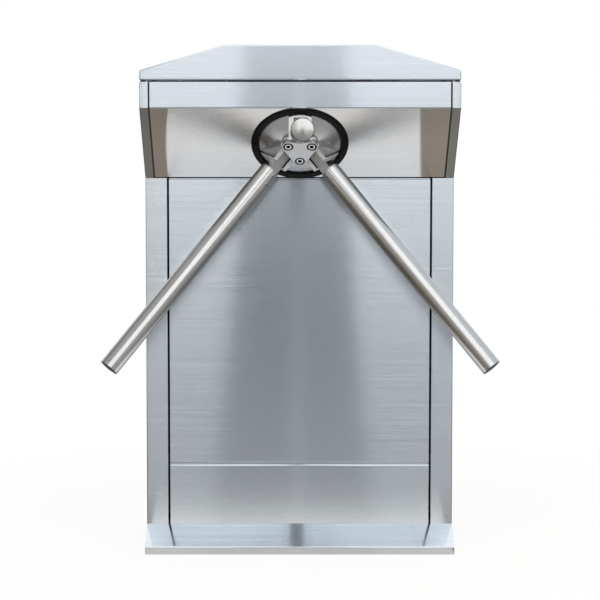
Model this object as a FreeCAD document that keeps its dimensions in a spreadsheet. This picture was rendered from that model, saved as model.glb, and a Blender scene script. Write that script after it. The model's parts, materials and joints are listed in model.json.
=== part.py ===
import FreeCAD, Part
import Sketcher
import math
import os
import re

# Tripod turnstile: floor-standing sheet steel case, slanted rotor head, three folding arms.
# X runs along the passage, -Y faces the passage, Z is up; the origin is the middle of the footprint.

doc = FreeCAD.newDocument("TripodTurnstile")
sheet = doc.addObject("Spreadsheet::Sheet", "Dimensions")

sizes = {
    # case
    "case_length": 644,
    "body_depth": 160,
    "body_height": 730,
    "gauge": 2,
    "plinth_reach": 60,
    "plinth_rise": 36,
    "plinth_lip": 16,
    "base_thickness": 8,
    "anchor_hole": 14,
    "anchor_spacing_x": 540,
    "anchor_inset": 32,
    "cable_hole": 60,
    "grommet_wall": 4,
    "post_return": 45,
    "panel_seam": 4.6,
    "panel_return": 14,
    "lower_panel_top": 179,
    "row_seam": 3,
    "post_size": 30,
    "tube_wall": 2,
    "rail_height": 30,
    "rail_depth": 20,
    # head and lid
    "head_overhang": 142,
    "fascia_height": 51.5,
    "cheek_return": 17.5,
    "cheek_seam": 3.6,
    "strip_width": 24,
    "lid_gap": 3,
    "lid_edge": 20,
    "lid_rise": 51.5,
    "lid_run": 170,
    "lid_return": 12,
    "buffer_width": 12,
    "hinge_width": 60,
    "hinge_offset": 190,
    "hinge_pin": 5,
    "hinge_knuckle": 10,
    "hinge_leaf": 24,
    "lock_bore": 14,
    "lock_reach": 22,
    "lock_inset": 40,
    "catch_width": 20,
    "lens_length": 110,
    "lens_width": 90,
    # rotor head, along the slanted axis
    "collar_outer": 199,
    "collar_inner": 167,
    "collar_height": 4,
    "collar_edge": 3,
    "collar_seat": 8,
    "hub_rim": 165,
    "hub_lift": 0.5,
    "hub_back": 8,
    "dome_radius": 320,
    "apex_depth": 30,
    "pin_distance": 68,
    "knuckle_width": 46,
    "knuckle_inner": 14,
    "knuckle_outer": 36,
    "knuckle_reach": 13,
    "knuckle_bridge": 5.5,
    "tongue_width": 25,
    "tongue_height": 20,
    "tongue_round": 19,
    "pivot_pin": 10,
    "plate_front": 24,
    "plate_thickness": 8,
    "plate_screw_circle": 54.8,
    "plate_ear": 25,
    "screw_head": 15.4,
    "screw_recess": 20,
    "screw_shank": 8,
    "screw_socket": 7.6,
    # arms
    "arm_reach": 622,
    "tube_start": 102,
    "arm_diameter": 40,
    "arm_wall": 1.5,
    "plug_length": 45,
    "cap_thickness": 3,
    "cap_crown": 2.5,
    "cap_plug": 15,
    "arm_screw_first": 111,
    "arm_screw_pitch": 22,
    "arm_screw_head": 8,
    # mechanism
    "plate_depth": 18,
    "carrier_plate": 8,
    "carrier_width": 300,
    "carrier_side": 20,
    "flange_diameter": 80,
    "flange_thickness": 7,
    "journal": 30,
    "shaft_shoulder": 36,
    "bearing_outer": 62,
    "bearing_width": 16,
    "housing_wall": 8,
    "housing_length": 84,
    "housing_flange": 110,
    "housing_flange_thickness": 8,
    "housing_bolt_circle": 94,
    "gear_module": 2,
    "drive_teeth": 60,
    "pinion_teeth": 20,
    "gear_width": 8,
    "gear_gap": 4,
    "lock_disc_diameter": 104,
    "lock_disc_width": 8,
    "notch_width": 30,
    "notches": 6,
    "notch_depth": 12,
    "nut_diameter": 46,
    "nut_width": 8,
    "lock_plate_depth": 146,
    "lock_plate_thickness": 5,
    "lock_plate_height": 196,
    "standoff": 12,
    "standoff_x": 112,
    "standoff_y": 66,
    "damper_diameter": 42,
    "pinion_shaft": 10,
    "crank_throw": 12,
    "crank_pin": 6,
    "stub_axle": 12,
    "spring_diameter": 10,
    "pawl_pivot_x": 66,
    "pawl_pivot_y": 45,
    "pawl_pin": 8,
    "pawl_width": 16,
    "pawl_top": 14,
    "pawl_tooth": 8,
    "plunger": 8,
    "plunger_drop": 10,
    "solenoid_length": 42,
    "solenoid_width": 26,
    # electronics
    "component_low": 300,
    "board_length": 360,
    "board_height": 180,
    "board_thickness": 1.6,
    "board_low": 500,
    "board_gap": 10,
    "spacer": 8,
    "spacer_inset": 15,
    "supply_length": 160,
    "supply_height": 110,
    "supply_depth": 40,
    "supply_inset": 72.4,
    "supply_low": 340,
    # clearances
    "fit_gap": 0.3,
    "run_gap": 0.05,
    "turn_gap": 0.5,
}
for row, (alias, value) in enumerate(sizes.items(), 1):
    sheet.set(f"A{row}", alias)
    sheet.set(f"B{row}", str(value))
    sheet.setAlias(f"B{row}", alias)
doc.recompute()

words = re.compile(r"[A-Za-z_]\w*")


def formula(text):
    """Plain size names become references to the sheet."""
    return words.sub(lambda m: f"Dimensions.{m.group()}" if m.group() in sizes else m.group(), str(text))


def number(text):
    return float(sheet.evalExpression(formula(text)))


def vector(x, y, z):
    return FreeCAD.Vector(number(x), number(y), number(z))


def bind(item, **values):
    for name, text in values.items():
        item.setExpression(name, formula(text))
    return item


def locate(item, x=0, y=0, z=0):
    for axis, text in zip("xyz", (x, y, z)):
        item.setExpression(f"Placement.Base.{axis}", formula(text))
    return item


# Levels and planes that several pieces share
half = "(case_length / 2)"
front = "(-body_depth / 2)"
rear = "(body_depth / 2)"
head_front = "(-body_depth / 2 - head_overhang)"
plinth_top = "(plinth_lip + plinth_rise)"
body_top = "(plinth_lip + plinth_rise + body_height)"
slant_top = f"({body_top} + head_overhang)"
head_top = f"({slant_top} + fascia_height)"
lid_bottom = f"({head_top} + lid_gap)"
lid_shoulder = f"({lid_bottom} + lid_edge)"
lid_top = f"({lid_shoulder} + lid_rise)"
post_inner = f"({half} - gauge - post_size)"
arm_radius = "(arm_diameter / 2)"
lock_y = f"({head_front} + lock_inset)"
lock_z = f"({lid_bottom} + lid_edge / 2)"
mid_y = f"({front} - head_overhang / 2)"
mid_z = f"({body_top} + head_overhang / 2)"

slant_frame = FreeCAD.Placement(vector(0, mid_y, mid_z), FreeCAD.Rotation(FreeCAD.Vector(1, 0, 0), 135))


def on_slant(item):
    """Carry a piece drawn about the rotor axis (outward = +z) onto the slanted face."""
    item.Placement = slant_frame
    item.setExpression("Placement.Base.y", formula(mid_y))
    item.setExpression("Placement.Base.z", formula(mid_z))
    return item


def arm_frame(index):
    """The arm's own frame inside the rotor: z along the arm from the apex, -y towards the axis."""
    turn = FreeCAD.Placement(FreeCAD.Vector(0, 0, 0), FreeCAD.Rotation(FreeCAD.Vector(0, 0, 1), 120 * index))
    lean = FreeCAD.Placement(vector(0, 0, "-apex_depth"), FreeCAD.Rotation(FreeCAD.Vector(1, 0, 0), -45))
    return turn.multiply(lean)


def box(name, x0, x1, y0, y1, z0, z1):
    item = doc.addObject("Part::Box", name)
    bind(item, Length=f"{x1} - ({x0})", Width=f"{y1} - ({y0})", Height=f"{z1} - ({z0})")
    return locate(item, x0, y0, z0)


def rod(name, radius, x, y, z0, z1):
    item = doc.addObject("Part::Cylinder", name)
    bind(item, Radius=radius, Height=f"{z1} - ({z0})")
    return locate(item, x, y, z0)


def cross_rod(name, radius, x0, x1, y, z):
    """A cylinder along X."""
    item = doc.addObject("Part::Cylinder", name)
    bind(item, Radius=radius, Height=f"{x1} - ({x0})")
    item.Placement = FreeCAD.Placement(FreeCAD.Vector(), FreeCAD.Rotation(FreeCAD.Vector(0, 1, 0), 90))
    return locate(item, x0, y, z)


def cut(name, base, *tools):
    for count, tool in enumerate(tools):
        last = count == len(tools) - 1
        item = doc.addObject("Part::Cut", name if last else f"{name}_cut{count}")
        item.Base = base
        item.Tool = tool
        base = item
    return base


def fuse(name, *pieces):
    item = doc.addObject("Part::MultiFuse", name)
    item.Shapes = list(pieces)
    item.Refine = True
    return item


def common(name, *pieces):
    item = doc.addObject("Part::MultiCommon", name)
    item.Shapes = list(pieces)
    return item


def group(name, *pieces):
    item = doc.addObject("Part::Compound", name)
    item.Links = list(pieces)
    return item


def sketch_on(body, role, name, offset=None):
    sketch = body.newObject("Sketcher::SketchObject", name)
    plane = [item for item in body.Origin.OriginFeatures if item.Role == role][0]
    sketch.AttachmentSupport = (plane, [""])
    sketch.MapMode = "FlatFace"
    if offset is not None:
        sketch.setExpression("AttachmentOffset.Base.z", formula(offset))
    return sketch


def hold(sketch, kind, element, point, text):
    index = sketch.addConstraint(Sketcher.Constraint(kind, -1, 1, element, point, number(text)))
    sketch.setExpression(f"Constraints[{index}]", formula(text))


def polygon(sketch, points):
    first = sketch.GeometryCount
    count = len(points)
    spots = [vector(x, y, 0) for x, y in points]
    for i in range(count):
        sketch.addGeometry(Part.LineSegment(spots[i], spots[(i + 1) % count]), False)
    links = [Sketcher.Constraint("Coincident", first + i, 2, first + (i + 1) % count, 1) for i in range(count)]
    sketch.addConstraint(links)
    for i, (x, y) in enumerate(points):
        hold(sketch, "DistanceX", first + i, 1, x)
        hold(sketch, "DistanceY", first + i, 1, y)


def circle(sketch, x, y, radius):
    ring = sketch.addGeometry(Part.Circle(vector(x, y, 0), FreeCAD.Vector(0, 0, 1), number(radius)), False)
    hold(sketch, "DistanceX", ring, 3, x)
    hold(sketch, "DistanceY", ring, 3, y)
    index = sketch.addConstraint(Sketcher.Constraint("Radius", ring, number(radius)))
    sketch.setExpression(f"Constraints[{index}]", formula(radius))


def pad(body, sketch, length, symmetric=False, reversed=False):
    item = body.newObject("PartDesign::Pad", f"{body.Name}_pad")
    item.Profile = sketch
    bind(item, Length=length)
    item.SideType = "Symmetric" if symmetric else "One side"
    item.Reversed = reversed
    return item


def pocket(body, sketch, length, symmetric=False, reversed=False):
    doc.recompute()
    before = body.Shape.Volume
    item = body.newObject("PartDesign::Pocket", f"{body.Name}_pocket")
    item.Profile = sketch
    bind(item, Length=length)
    item.SideType = "Symmetric" if symmetric else "One side"
    item.Reversed = reversed
    doc.recompute()
    if not body.Shape.Volume < before:
        raise ValueError(f"{body.Name}: the pocket cuts nothing")
    return item


def prism(name, role, points, length, symmetric=True, offset=None, reversed=False):
    body = doc.addObject("PartDesign::Body", name)
    sketch = sketch_on(body, role, f"{name}_profile", offset)
    polygon(sketch, points)
    pad(body, sketch, length, symmetric, reversed)
    return body


def turned(name, points):
    """A piece turned about its own Z axis from (radius, height) points."""
    body = doc.addObject("PartDesign::Body", name)
    sketch = sketch_on(body, "XZ_Plane", f"{name}_profile")
    polygon(sketch, points)
    item = body.newObject("PartDesign::Revolution", f"{name}_turn")
    item.Profile = sketch
    item.ReferenceAxis = (sketch, ["V_Axis"])
    item.Angle = 360
    return body


parts = []


def keep(item, label):
    item.Label = label
    parts.append(item)
    return item


# Base plate: anchors lie under the plinth covers, the cable comes up through the middle
plate_x = f"({half} - gauge - fit_gap)"
plate_y = "(body_depth / 2 + plinth_reach - gauge - fit_gap)"
anchor_y = "(body_depth / 2 + anchor_inset)"
base = doc.addObject("PartDesign::Body", "BasePlate")
base_sketch = sketch_on(base, "XY_Plane", "BasePlate_profile")
polygon(base_sketch, [
    (f"-{plate_x}", f"-{plate_y}"), (plate_x, f"-{plate_y}"), (plate_x, plate_y), (f"-{plate_x}", plate_y),
])
corners = (("-", "-"), ("", "-"), ("-", ""), ("", ""))
for sign_x, sign_y in corners:
    circle(base_sketch, f"{sign_x}anchor_spacing_x / 2", f"{sign_y}{anchor_y}", "anchor_hole / 2")
circle(base_sketch, "0", "0", "cable_hole / 2")
pad(base, base_sketch, "base_thickness")
keep(base, "base_plate")

grommet = turned("Grommet", [
    ("cable_hole / 2 - grommet_wall", "base_thickness / 4"),
    ("cable_hole / 2 - fit_gap", "base_thickness / 4"),
    ("cable_hole / 2 - fit_gap", "base_thickness"),
    ("cable_hole / 2 + grommet_wall", "base_thickness"),
    ("cable_hole / 2 + grommet_wall", "base_thickness + grommet_wall / 2"),
    ("cable_hole / 2 - grommet_wall", "base_thickness + grommet_wall / 2"),
])
keep(grommet, "cable_grommet")


# Plinth covers: upright lip, slope up to the body, closed ends
def plinth(name, label, side):
    slope = "(gauge * sqrt(plinth_reach ^ 2 + plinth_rise ^ 2) / plinth_reach)"
    near = f"{side}(body_depth / 2 + fit_gap)"
    far = f"{side}(body_depth / 2 + plinth_reach)"
    inner_far = f"{side}(body_depth / 2 + plinth_reach - gauge)"
    body = prism(name, "YZ_Plane", [
        (near, plinth_top), (far, "plinth_lip"), (far, "0"), (near, "0"),
    ], "case_length")
    hollow = sketch_on(body, "YZ_Plane", f"{name}_hollow")
    polygon(hollow, [
        (near, f"{plinth_top} - {slope}"),
        (inner_far, f"plinth_lip + plinth_rise * gauge / plinth_reach - {slope}"),
        (inner_far, "0"),
        (near, "0"),
    ])
    pocket(body, hollow, "case_length - 2 * gauge", symmetric=True)
    keep(body, label)


plinth("PlinthFront", "plinth_front", "-")
plinth("PlinthRear", "plinth_rear", "")


# End panels: folded channels that close the two ends and return round the corners
def end_panel(name, label, side):
    outer = f"{side}{half}"
    inner = f"{side}({half} - post_return)"
    web = f"{side}({half} - gauge)"
    low, high = (outer, inner) if side == "-" else (inner, outer)
    cut_low, cut_high = (web, inner) if side == "-" else (inner, web)
    shell = box(f"{name}Shell", low, high, front, rear, "base_thickness", f"{body_top} - fit_gap")
    hollow = box(f"{name}Hollow", cut_low, cut_high, f"{front} + gauge", f"{rear} - gauge",
                 "base_thickness", f"{body_top} - fit_gap")
    keep(cut(name, shell, hollow), label)


end_panel("EndPanelLeft", "end_panel_left", "-")
end_panel("EndPanelRight", "end_panel_right", "")

# Front and rear panels: shallow trays between the returns
tray_x = f"({half} - post_return - panel_seam)"


def tray(name, label, y_face, y_back, low, high):
    """A sheet with a return on all four sides, open towards y_back."""
    sign = "" if number(y_back) > number(y_face) else "-"
    y0, y1 = (y_face, y_back) if sign == "" else (y_back, y_face)
    skin = f"({y_face} + {sign}gauge)" if sign == "" else f"({y_face} - gauge)"
    c0, c1 = (skin, y_back) if sign == "" else (y_back, skin)
    outer = box(f"{name}Outer", f"-{tray_x}", tray_x, y0, y1, low, high)
    hollow = box(f"{name}Hollow", f"-({tray_x} - gauge)", f"{tray_x} - gauge", c0, c1,
                 f"{low} + gauge", f"{high} - gauge")
    keep(cut(name, outer, hollow), label)


rail_front = f"({front} + panel_return)"
rail_rear = f"({rear} - panel_return)"
tray("FrontPanel", "front_panel", front, rail_front, "lower_panel_top + row_seam", f"{body_top} - row_seam")
tray("LowerPanel", "lower_panel", front, rail_front, "base_thickness + fit_gap", "lower_panel_top")
tray("RearPanel", "rear_panel", rear, rail_rear, "base_thickness + fit_gap", f"{body_top} - row_seam")

# Frame: four posts on the base plate, cross rails that carry the panels
posts = []
for n, (sign_x, sign_y) in enumerate(corners):
    x0, x1 = (f"-({half} - gauge)", f"-{post_inner}") if sign_x else (post_inner, f"{half} - gauge")
    y0, y1 = (f"{front} + gauge", f"{front} + gauge + post_size")
    if not sign_y:
        y0, y1 = (f"{rear} - gauge - post_size", f"{rear} - gauge")
    outer = box(f"Post{n}Outer", x0, x1, y0, y1, "base_thickness", body_top)
    bore = box(f"Post{n}Bore", f"{x0} + tube_wall", f"{x1} - tube_wall", f"{y0} + tube_wall",
               f"{y1} - tube_wall", "base_thickness", body_top)
    posts.append(cut(f"Post{n}", outer, bore))
keep(group("FramePosts", *posts), "frame_posts")

rails = []
rail_lows = {
    "Low": "(base_thickness + rail_height / 2)",
    "Mid": "(lower_panel_top + row_seam / 2 - rail_height / 2)",
    "Top": f"({body_top} - row_seam - rail_height - gauge)",
}
for level, low in rail_lows.items():
    for place, y0 in (("Front", rail_front), ("Rear", f"({rail_rear} - rail_depth)")):
        y1 = f"({y0} + rail_depth)"
        outer = box(f"Rail{level}{place}Outer", f"-{post_inner}", post_inner, y0, y1, low,
                    f"{low} + rail_height")
        bore = box(f"Rail{level}{place}Bore", f"-{post_inner}", post_inner, f"{y0} + tube_wall",
                   f"{y1} - tube_wall", f"{low} + tube_wall", f"{low} + rail_height - tube_wall")
        rails.append(cut(f"Rail{level}{place}", outer, bore))


# The head's front bends once, from upright to 45 degrees
def bent_profile(outer, inner, top):
    """A strip between two depths behind the front faces, up to a level."""
    lean_out = f"({outer} * (sqrt(2) - 1))"
    lean_in = f"({inner} * (sqrt(2) - 1))"
    foot_out = f"({outer} / sqrt(2))"
    foot_in = f"({inner} / sqrt(2))"
    return [
        (f"{head_front} + {outer}", top),
        (f"{head_front} + {outer}", f"{slant_top} + {lean_out}"),
        (f"{front} + {foot_out} - gauge", f"{body_top} + {foot_out} + gauge"),
        (f"{front} + {foot_in} - gauge", f"{body_top} + {foot_in} + gauge"),
        (f"{head_front} + {inner}", f"{slant_top} + {lean_in}"),
        (f"{head_front} + {inner}", top),
    ]


cover_half = f"({half} - cheek_return - cheek_seam)"
joint_middle = f"({cover_half} + cheek_seam / 2)"
# Head cheeks: pans with a return on every edge and a strip welded behind the joint with the cover
mitre = "(gauge * (sqrt(2) - 1))"


def cheek(name, label, side, *welded):
    # the pad grows from the outer face towards the middle
    outer = f"{side}{half}"
    inner = f"{side}({half} - gauge)"
    backwards = side == ""
    body = prism(name, "YZ_Plane", [
        (head_front, head_top), (head_front, slant_top), (front, body_top), (rear, body_top), (rear, head_top),
    ], "cheek_return", symmetric=False, offset=outer, reversed=backwards)
    hollow = sketch_on(body, "YZ_Plane", f"{name}_hollow", inner)
    polygon(hollow, [
        (f"{head_front} + gauge", f"{head_top} - gauge"),
        (f"{head_front} + gauge", f"{slant_top} + {mitre}"),
        (f"{front} + {mitre}", f"{body_top} + gauge"),
        (f"{rear} - gauge", f"{body_top} + gauge"),
        (f"{rear} - gauge", f"{head_top} - gauge"),
    ])
    pocket(body, hollow, "cheek_return", reversed=not backwards)
    strip_start = f"{side}{joint_middle} - strip_width / 2"
    strip = prism(f"{name}Strip", "YZ_Plane", bent_profile("gauge", "2 * gauge", f"{head_top} - gauge - fit_gap"),
                  "strip_width", symmetric=False, offset=strip_start)
    keep(fuse(f"{name}Welded", body, strip, *welded), label)


# The lid lock's cam turns under a catch that stands on the right cheek
catch_x = f"({half} - cheek_return)"
catch_y = f"({lock_y} + lock_bore / 2 + 1.5 * gauge)"
catch_z = f"({lock_z} + lock_bore / 4 + turn_gap)"
catch_post = box("CatchPost", catch_x, f"{catch_x} + gauge", catch_y, f"{catch_y} + catch_width",
                 f"{head_top} - gauge", f"{catch_z} + gauge")
catch_lip = box("CatchLip", f"{half} - lock_reach - 2 * gauge", catch_x, catch_y, f"{catch_y} + catch_width",
                catch_z, f"{catch_z} + gauge")
cheek("CheekLeft", "head_cheek_left", "-")
cheek("CheekRight", "head_cheek_right", "", catch_post, catch_lip)

# Head front cover between the cheeks, with the hole for the rotor
cover_blank = prism("HeadCoverBlank", "YZ_Plane", bent_profile("0", "gauge", head_top), f"2 * {cover_half}")
hub_hole = group("HubHole", rod("HubHoleRod", "collar_outer / 2 - collar_seat", 0, 0,
                                "-3 * gauge", "3 * gauge"))
on_slant(hub_hole)
keep(cut("HeadCover", cover_blank, hub_hole), "head_front_cover")

rear_cover = box("HeadRearCover", f"-({half} - gauge - fit_gap)", f"{half} - gauge - fit_gap",
                 f"{rear} - 2 * gauge", f"{rear} - gauge", f"{body_top} + gauge", f"{head_top} - gauge")
keep(rear_cover, "head_rear_cover")

# Lid: folded shell with sloped ends and an inward return, hinged at the rear
lid_fall = "(gauge * (sqrt(lid_run ^ 2 + lid_rise ^ 2) / lid_run))"
lid_tip = "(gauge * (sqrt(lid_run ^ 2 + lid_rise ^ 2) - lid_run) / lid_rise)"
lid_flat = f"({half} - lid_run)"
lid_outline = [
    (f"-{half}", lid_bottom), (half, lid_bottom), (half, lid_shoulder),
    (lid_flat, lid_top), (f"-{lid_flat}", lid_top), (f"-{half}", lid_shoulder),
]
wall_x = f"({half} - gauge)"
wall_z = f"({lid_shoulder} + lid_rise * gauge / lid_run - {lid_fall})"
lid_inside = [
    (f"-{wall_x}", f"{lid_bottom} + gauge"), (wall_x, f"{lid_bottom} + gauge"), (wall_x, wall_z),
    (f"{lid_flat} - {lid_tip}", f"{lid_top} - gauge"), (f"-({lid_flat} - {lid_tip})", f"{lid_top} - gauge"),
    (f"-{wall_x}", wall_z),
]
lid_depth = "(body_depth + head_overhang)"
lid_middle = "(head_overhang / 2)"
lid_blank = prism("LidBlank", "XZ_Plane", lid_outline, lid_depth, offset=lid_middle)
lid_room = prism("LidRoom", "XZ_Plane", lid_inside, f"{lid_depth} - 2 * gauge", offset=lid_middle)
lid_mouth = box("LidMouth", f"-({half} - lid_return)", f"{half} - lid_return", f"{head_front} + lid_return",
                f"{rear} - lid_return", f"{lid_bottom} - gauge", f"{lid_bottom} + 2 * gauge")
slope_angle = math.degrees(math.atan2(number("lid_rise"), number("lid_run")))


def slope_box(name, side, length, width, low, high):
    """A box centred on a sloped end, with its height measured from the sloped face."""
    item = doc.addObject("Part::Box", name)
    bind(item, Length=length, Width=width, Height=f"{high} - ({low})")
    turn = FreeCAD.Rotation(FreeCAD.Vector(0, 1, 0), side * slope_angle)
    middle = vector(f"{side} * ({half} - lid_run / 2)", f"-{lid_middle}", f"{lid_shoulder} + lid_rise / 2")
    corner = FreeCAD.Placement(vector(f"-({length}) / 2", f"-({width}) / 2", low), FreeCAD.Rotation())
    item.Placement = FreeCAD.Placement(middle, turn).multiply(corner)
    return item


lens_holes = [slope_box(f"LensHole{n}", side, "lens_length", "lens_width", "-3 * gauge", "3 * gauge")
              for n, side in enumerate((-1, 1))]
lock_hole = cross_rod("LidLockHole", "lock_bore / 2 + fit_gap", f"{half} - 4 * gauge", f"{half} + gauge",
                      lock_y, lock_z)
lid = cut("Lid", lid_blank, lid_room, lid_mouth, lens_holes[0], lens_holes[1], lock_hole)
keep(lid, "lid")

lenses = []
for n, side in enumerate((-1, 1)):
    glass = slope_box(f"LensGlass{n}", side, "lens_length - 2 * fit_gap", "lens_width - 2 * fit_gap",
                      "-gauge - fit_gap", "0")
    rim = slope_box(f"LensRim{n}", side, "lens_length + 6 * gauge", "lens_width + 6 * gauge",
                    "-2.5 * gauge", "-gauge - fit_gap / 4")
    lenses.append(fuse(f"Lens{n}", glass, rim))
keep(group("IndicatorLenses", *lenses), "indicator_lenses")

# Lid buffers on the cheeks' top returns
buffers = []
for side in ("-", ""):
    for place, y in (("Front", f"{head_front} + lid_return / 2"), ("Rear", f"{rear} - lid_return / 2")):
        x = f"{side}({half} - lid_return / 2 - gauge)"
        buffers.append(rod(f"LidBuffer{place}{len(buffers)}", "buffer_width / 2 - fit_gap", x, y, head_top,
                           f"{lid_bottom} - fit_gap / 2"))
keep(group("LidBuffers", *buffers), "lid_buffers")

# Lid hinges behind the rear wall: fixed leaf with two knuckles and the pin, lid leaf with the middle one
hinge_y = f"({rear} + hinge_knuckle / 2 + fit_gap)"
hinge_z = f"({head_top} + lid_gap / 2)"
leaf_back = f"({rear} - gauge)"
leaf_face = f"({rear} + gauge)"
fixed_leaves, lid_leaves = [], []
for n, side in enumerate(("-", "")):
    left = f"({side}hinge_offset - hinge_width / 2)"
    right = f"({left} + hinge_width)"
    first = f"({left} + hinge_width / 3 - fit_gap)"
    last = f"({right} - hinge_width / 3 + fit_gap)"
    outer_knuckles = []
    for k, (x0, x1) in enumerate(((left, first), (last, right))):
        outer_knuckles.append(cross_rod(f"HingeFixedKnuckle{n}{k}", "hinge_knuckle / 2", x0, x1, hinge_y, hinge_z))
        outer_knuckles.append(box(f"HingeFixedArm{n}{k}", x0, x1, leaf_back, leaf_face,
                                  f"{hinge_z} - hinge_leaf", hinge_z))
    leaf = box(f"HingeFixedLeaf{n}", left, right, leaf_back, leaf_face, f"{hinge_z} - hinge_leaf",
               f"{hinge_z} - hinge_knuckle / 2 - fit_gap")
    pin = cross_rod(f"HingePin{n}", "hinge_pin / 2", left, right, hinge_y, hinge_z)
    fixed_leaves.append(fuse(f"HingeFixed{n}", leaf, pin, *outer_knuckles))
    lid_x0 = f"({first} + fit_gap)"
    lid_x1 = f"({last} - fit_gap)"
    lid_bore = cross_rod(f"HingeLidBore{n}", "hinge_pin / 2 + run_gap", left, right, hinge_y, hinge_z)
    lid_knuckle = cross_rod(f"HingeLidKnuckle{n}", "hinge_knuckle / 2", lid_x0, lid_x1, hinge_y, hinge_z)
    lid_arm = box(f"HingeLidArm{n}", lid_x0, lid_x1, rear, leaf_face, hinge_z, f"{hinge_z} + hinge_leaf")
    lid_leaf = box(f"HingeLidLeaf{n}", left, right, rear, leaf_face,
                   f"{hinge_z} + hinge_knuckle / 2 + fit_gap", f"{hinge_z} + hinge_leaf")
    lid_blank_leaf = fuse(f"HingeLidBlank{n}", lid_knuckle, lid_arm, lid_leaf)
    lid_leaves.append(cut(f"HingeLid{n}", lid_blank_leaf, lid_bore))
keep(group("HingeFixedLeaves", *fixed_leaves), "hinge_fixed_leaves")
keep(group("HingeLidLeaves", *lid_leaves), "hinge_lid_leaves")

# Lid lock in the right end wall: barrel in the lid, turning core with its cam
barrel_end = f"({half} - lock_reach)"
barrel_face = cross_rod("LockFace", "lock_bore / 2 + gauge", half, f"{half} + gauge", lock_y, lock_z)
barrel_tube = cross_rod("LockTube", "lock_bore / 2", barrel_end, half, lock_y, lock_z)
barrel_bore = cross_rod("LockBore", "lock_bore / 4 + run_gap", barrel_end, f"{half} + gauge", lock_y, lock_z)
keep(cut("LockBarrel", fuse("LockBarrelBlank", barrel_face, barrel_tube), barrel_bore), "lock_barrel")
core = cross_rod("LockCoreRod", "lock_bore / 4", f"{barrel_end} - gauge", f"{half} + gauge", lock_y, lock_z)
# the cam hangs down when unlocked
cam_blade = box("LockCamBlade", f"{barrel_end} - gauge - fit_gap", f"{barrel_end} - fit_gap",
                f"{lock_y} - lock_bore / 4", f"{lock_y} + lock_bore / 4", f"{lock_z} - lock_bore",
                f"{lock_z} + lock_bore / 4")
key_slot = box("LockKeySlot", half, f"{half} + 2 * gauge", f"{lock_y} - gauge / 4", f"{lock_y} + gauge / 4",
               f"{lock_z} - lock_bore / 6", f"{lock_z} + lock_bore / 6")
keep(cut("LockCore", fuse("LockCoreBlank", core, cam_blade), key_slot), "lock_core")

# Collar: black ring seated on the slanted face round the rotor, sloped down to the rotor inside
collar_r = "(collar_outer / 2)"
bore_r = "(collar_inner / 2)"
collar = turned("Collar", [
    (bore_r, "-2 * gauge"),
    (f"{collar_r} - collar_seat - fit_gap", "-2 * gauge"),
    (f"{collar_r} - collar_seat - fit_gap", "0"),
    (collar_r, "0"),
    (collar_r, "collar_height - collar_edge"),
    (f"{collar_r} - collar_edge * (1 - cos(30))", "collar_height - collar_edge / 2"),
    (f"{collar_r} - collar_edge / 2", "collar_height - collar_edge * (1 - cos(30))"),
    (f"{collar_r} - collar_edge", "collar_height"),
    (f"{bore_r} + collar_height - gauge / 2", "collar_height"),
    (bore_r, "gauge / 2"),
])
keep(on_slant(collar), "hub_collar")

# Rotor hub: shallow dome with three square forked knuckles, and a raised seat for the cover plate
rim_r = "(hub_rim / 2)"
hub_barrel = rod("HubBarrel", rim_r, 0, 0, "-hub_back", "plate_front")
dome = doc.addObject("Part::Sphere", "HubDome")
bind(dome, Radius="dome_radius")
locate(dome, 0, 0, f"hub_lift - sqrt(dome_radius ^ 2 - {rim_r} ^ 2)")
bowl = common("HubBowl", hub_barrel, dome)


def in_arm(item, index, x=0, y=0, z=0):
    """Place a piece drawn in an arm's own frame."""
    item.Placement = arm_frame(index).multiply(FreeCAD.Placement(vector(x, y, z), item.Placement.Rotation))
    return item


def arm_box(name, index, x0, x1, y0, y1, z0, z1):
    item = doc.addObject("Part::Box", name)
    bind(item, Length=f"{x1} - ({x0})", Width=f"{y1} - ({y0})", Height=f"{z1} - ({z0})")
    return in_arm(item, index, x0, y0, z0)


def arm_pin(name, index, radius, width, z):
    """A cylinder across the arm."""
    item = doc.addObject("Part::Cylinder", name)
    bind(item, Radius=radius, Height=width)
    item.Placement = FreeCAD.Placement(FreeCAD.Vector(), FreeCAD.Rotation(FreeCAD.Vector(0, 1, 0), 90))
    return in_arm(item, index, f"-({width}) / 2", 0, z)


def arm_rod(name, index, radius, z0, z1):
    item = doc.addObject("Part::Cylinder", name)
    bind(item, Radius=radius, Height=f"{z1} - ({z0})")
    return in_arm(item, index, 0, 0, z0)


fork_half = "(knuckle_width / 2)"
slot_half = "(tongue_width / 2 + turn_gap)"
slot_round = "(tongue_round + 2 * turn_gap)"
forks, slots, pin_holes = [], [], []
for k in range(3):
    forks.append(arm_box(f"ForkBlock{k}", k, f"-{fork_half}", fork_half, "-knuckle_inner", "knuckle_outer",
                         "pin_distance / 3", "pin_distance + knuckle_reach"))
    slots.append(arm_pin(f"SlotRound{k}", k, slot_round, f"2 * {slot_half}", "pin_distance"))
    slots.append(arm_box(f"SlotInner{k}", k, f"-{slot_half}", slot_half, "-4 * knuckle_inner", "0",
                         f"pin_distance - {slot_round}", "tube_start + arm_diameter"))
    slots.append(arm_box(f"SlotOuter{k}", k, f"-{slot_half}", slot_half, "0", "knuckle_outer - knuckle_bridge",
                         "pin_distance", "tube_start + arm_diameter"))
    pin_holes.append(arm_pin(f"PinHole{k}", k, "pivot_pin / 2", "knuckle_width + 2 * gauge", "pin_distance"))
fork_room = rod("ForkRoom", rim_r, 0, 0, "-hub_back", "pin_distance")
spider = common("HubSpider", fuse("HubForks", *forks), fork_room)
plate_back = "(plate_front - plate_thickness)"
ear_x = "(plate_screw_circle / 2)"


def ear_spot(index):
    """Screw positions, between the arms."""
    return f"{ear_x} * cos({30 + 120 * index})", f"{ear_x} * sin({30 + 120 * index})"


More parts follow.
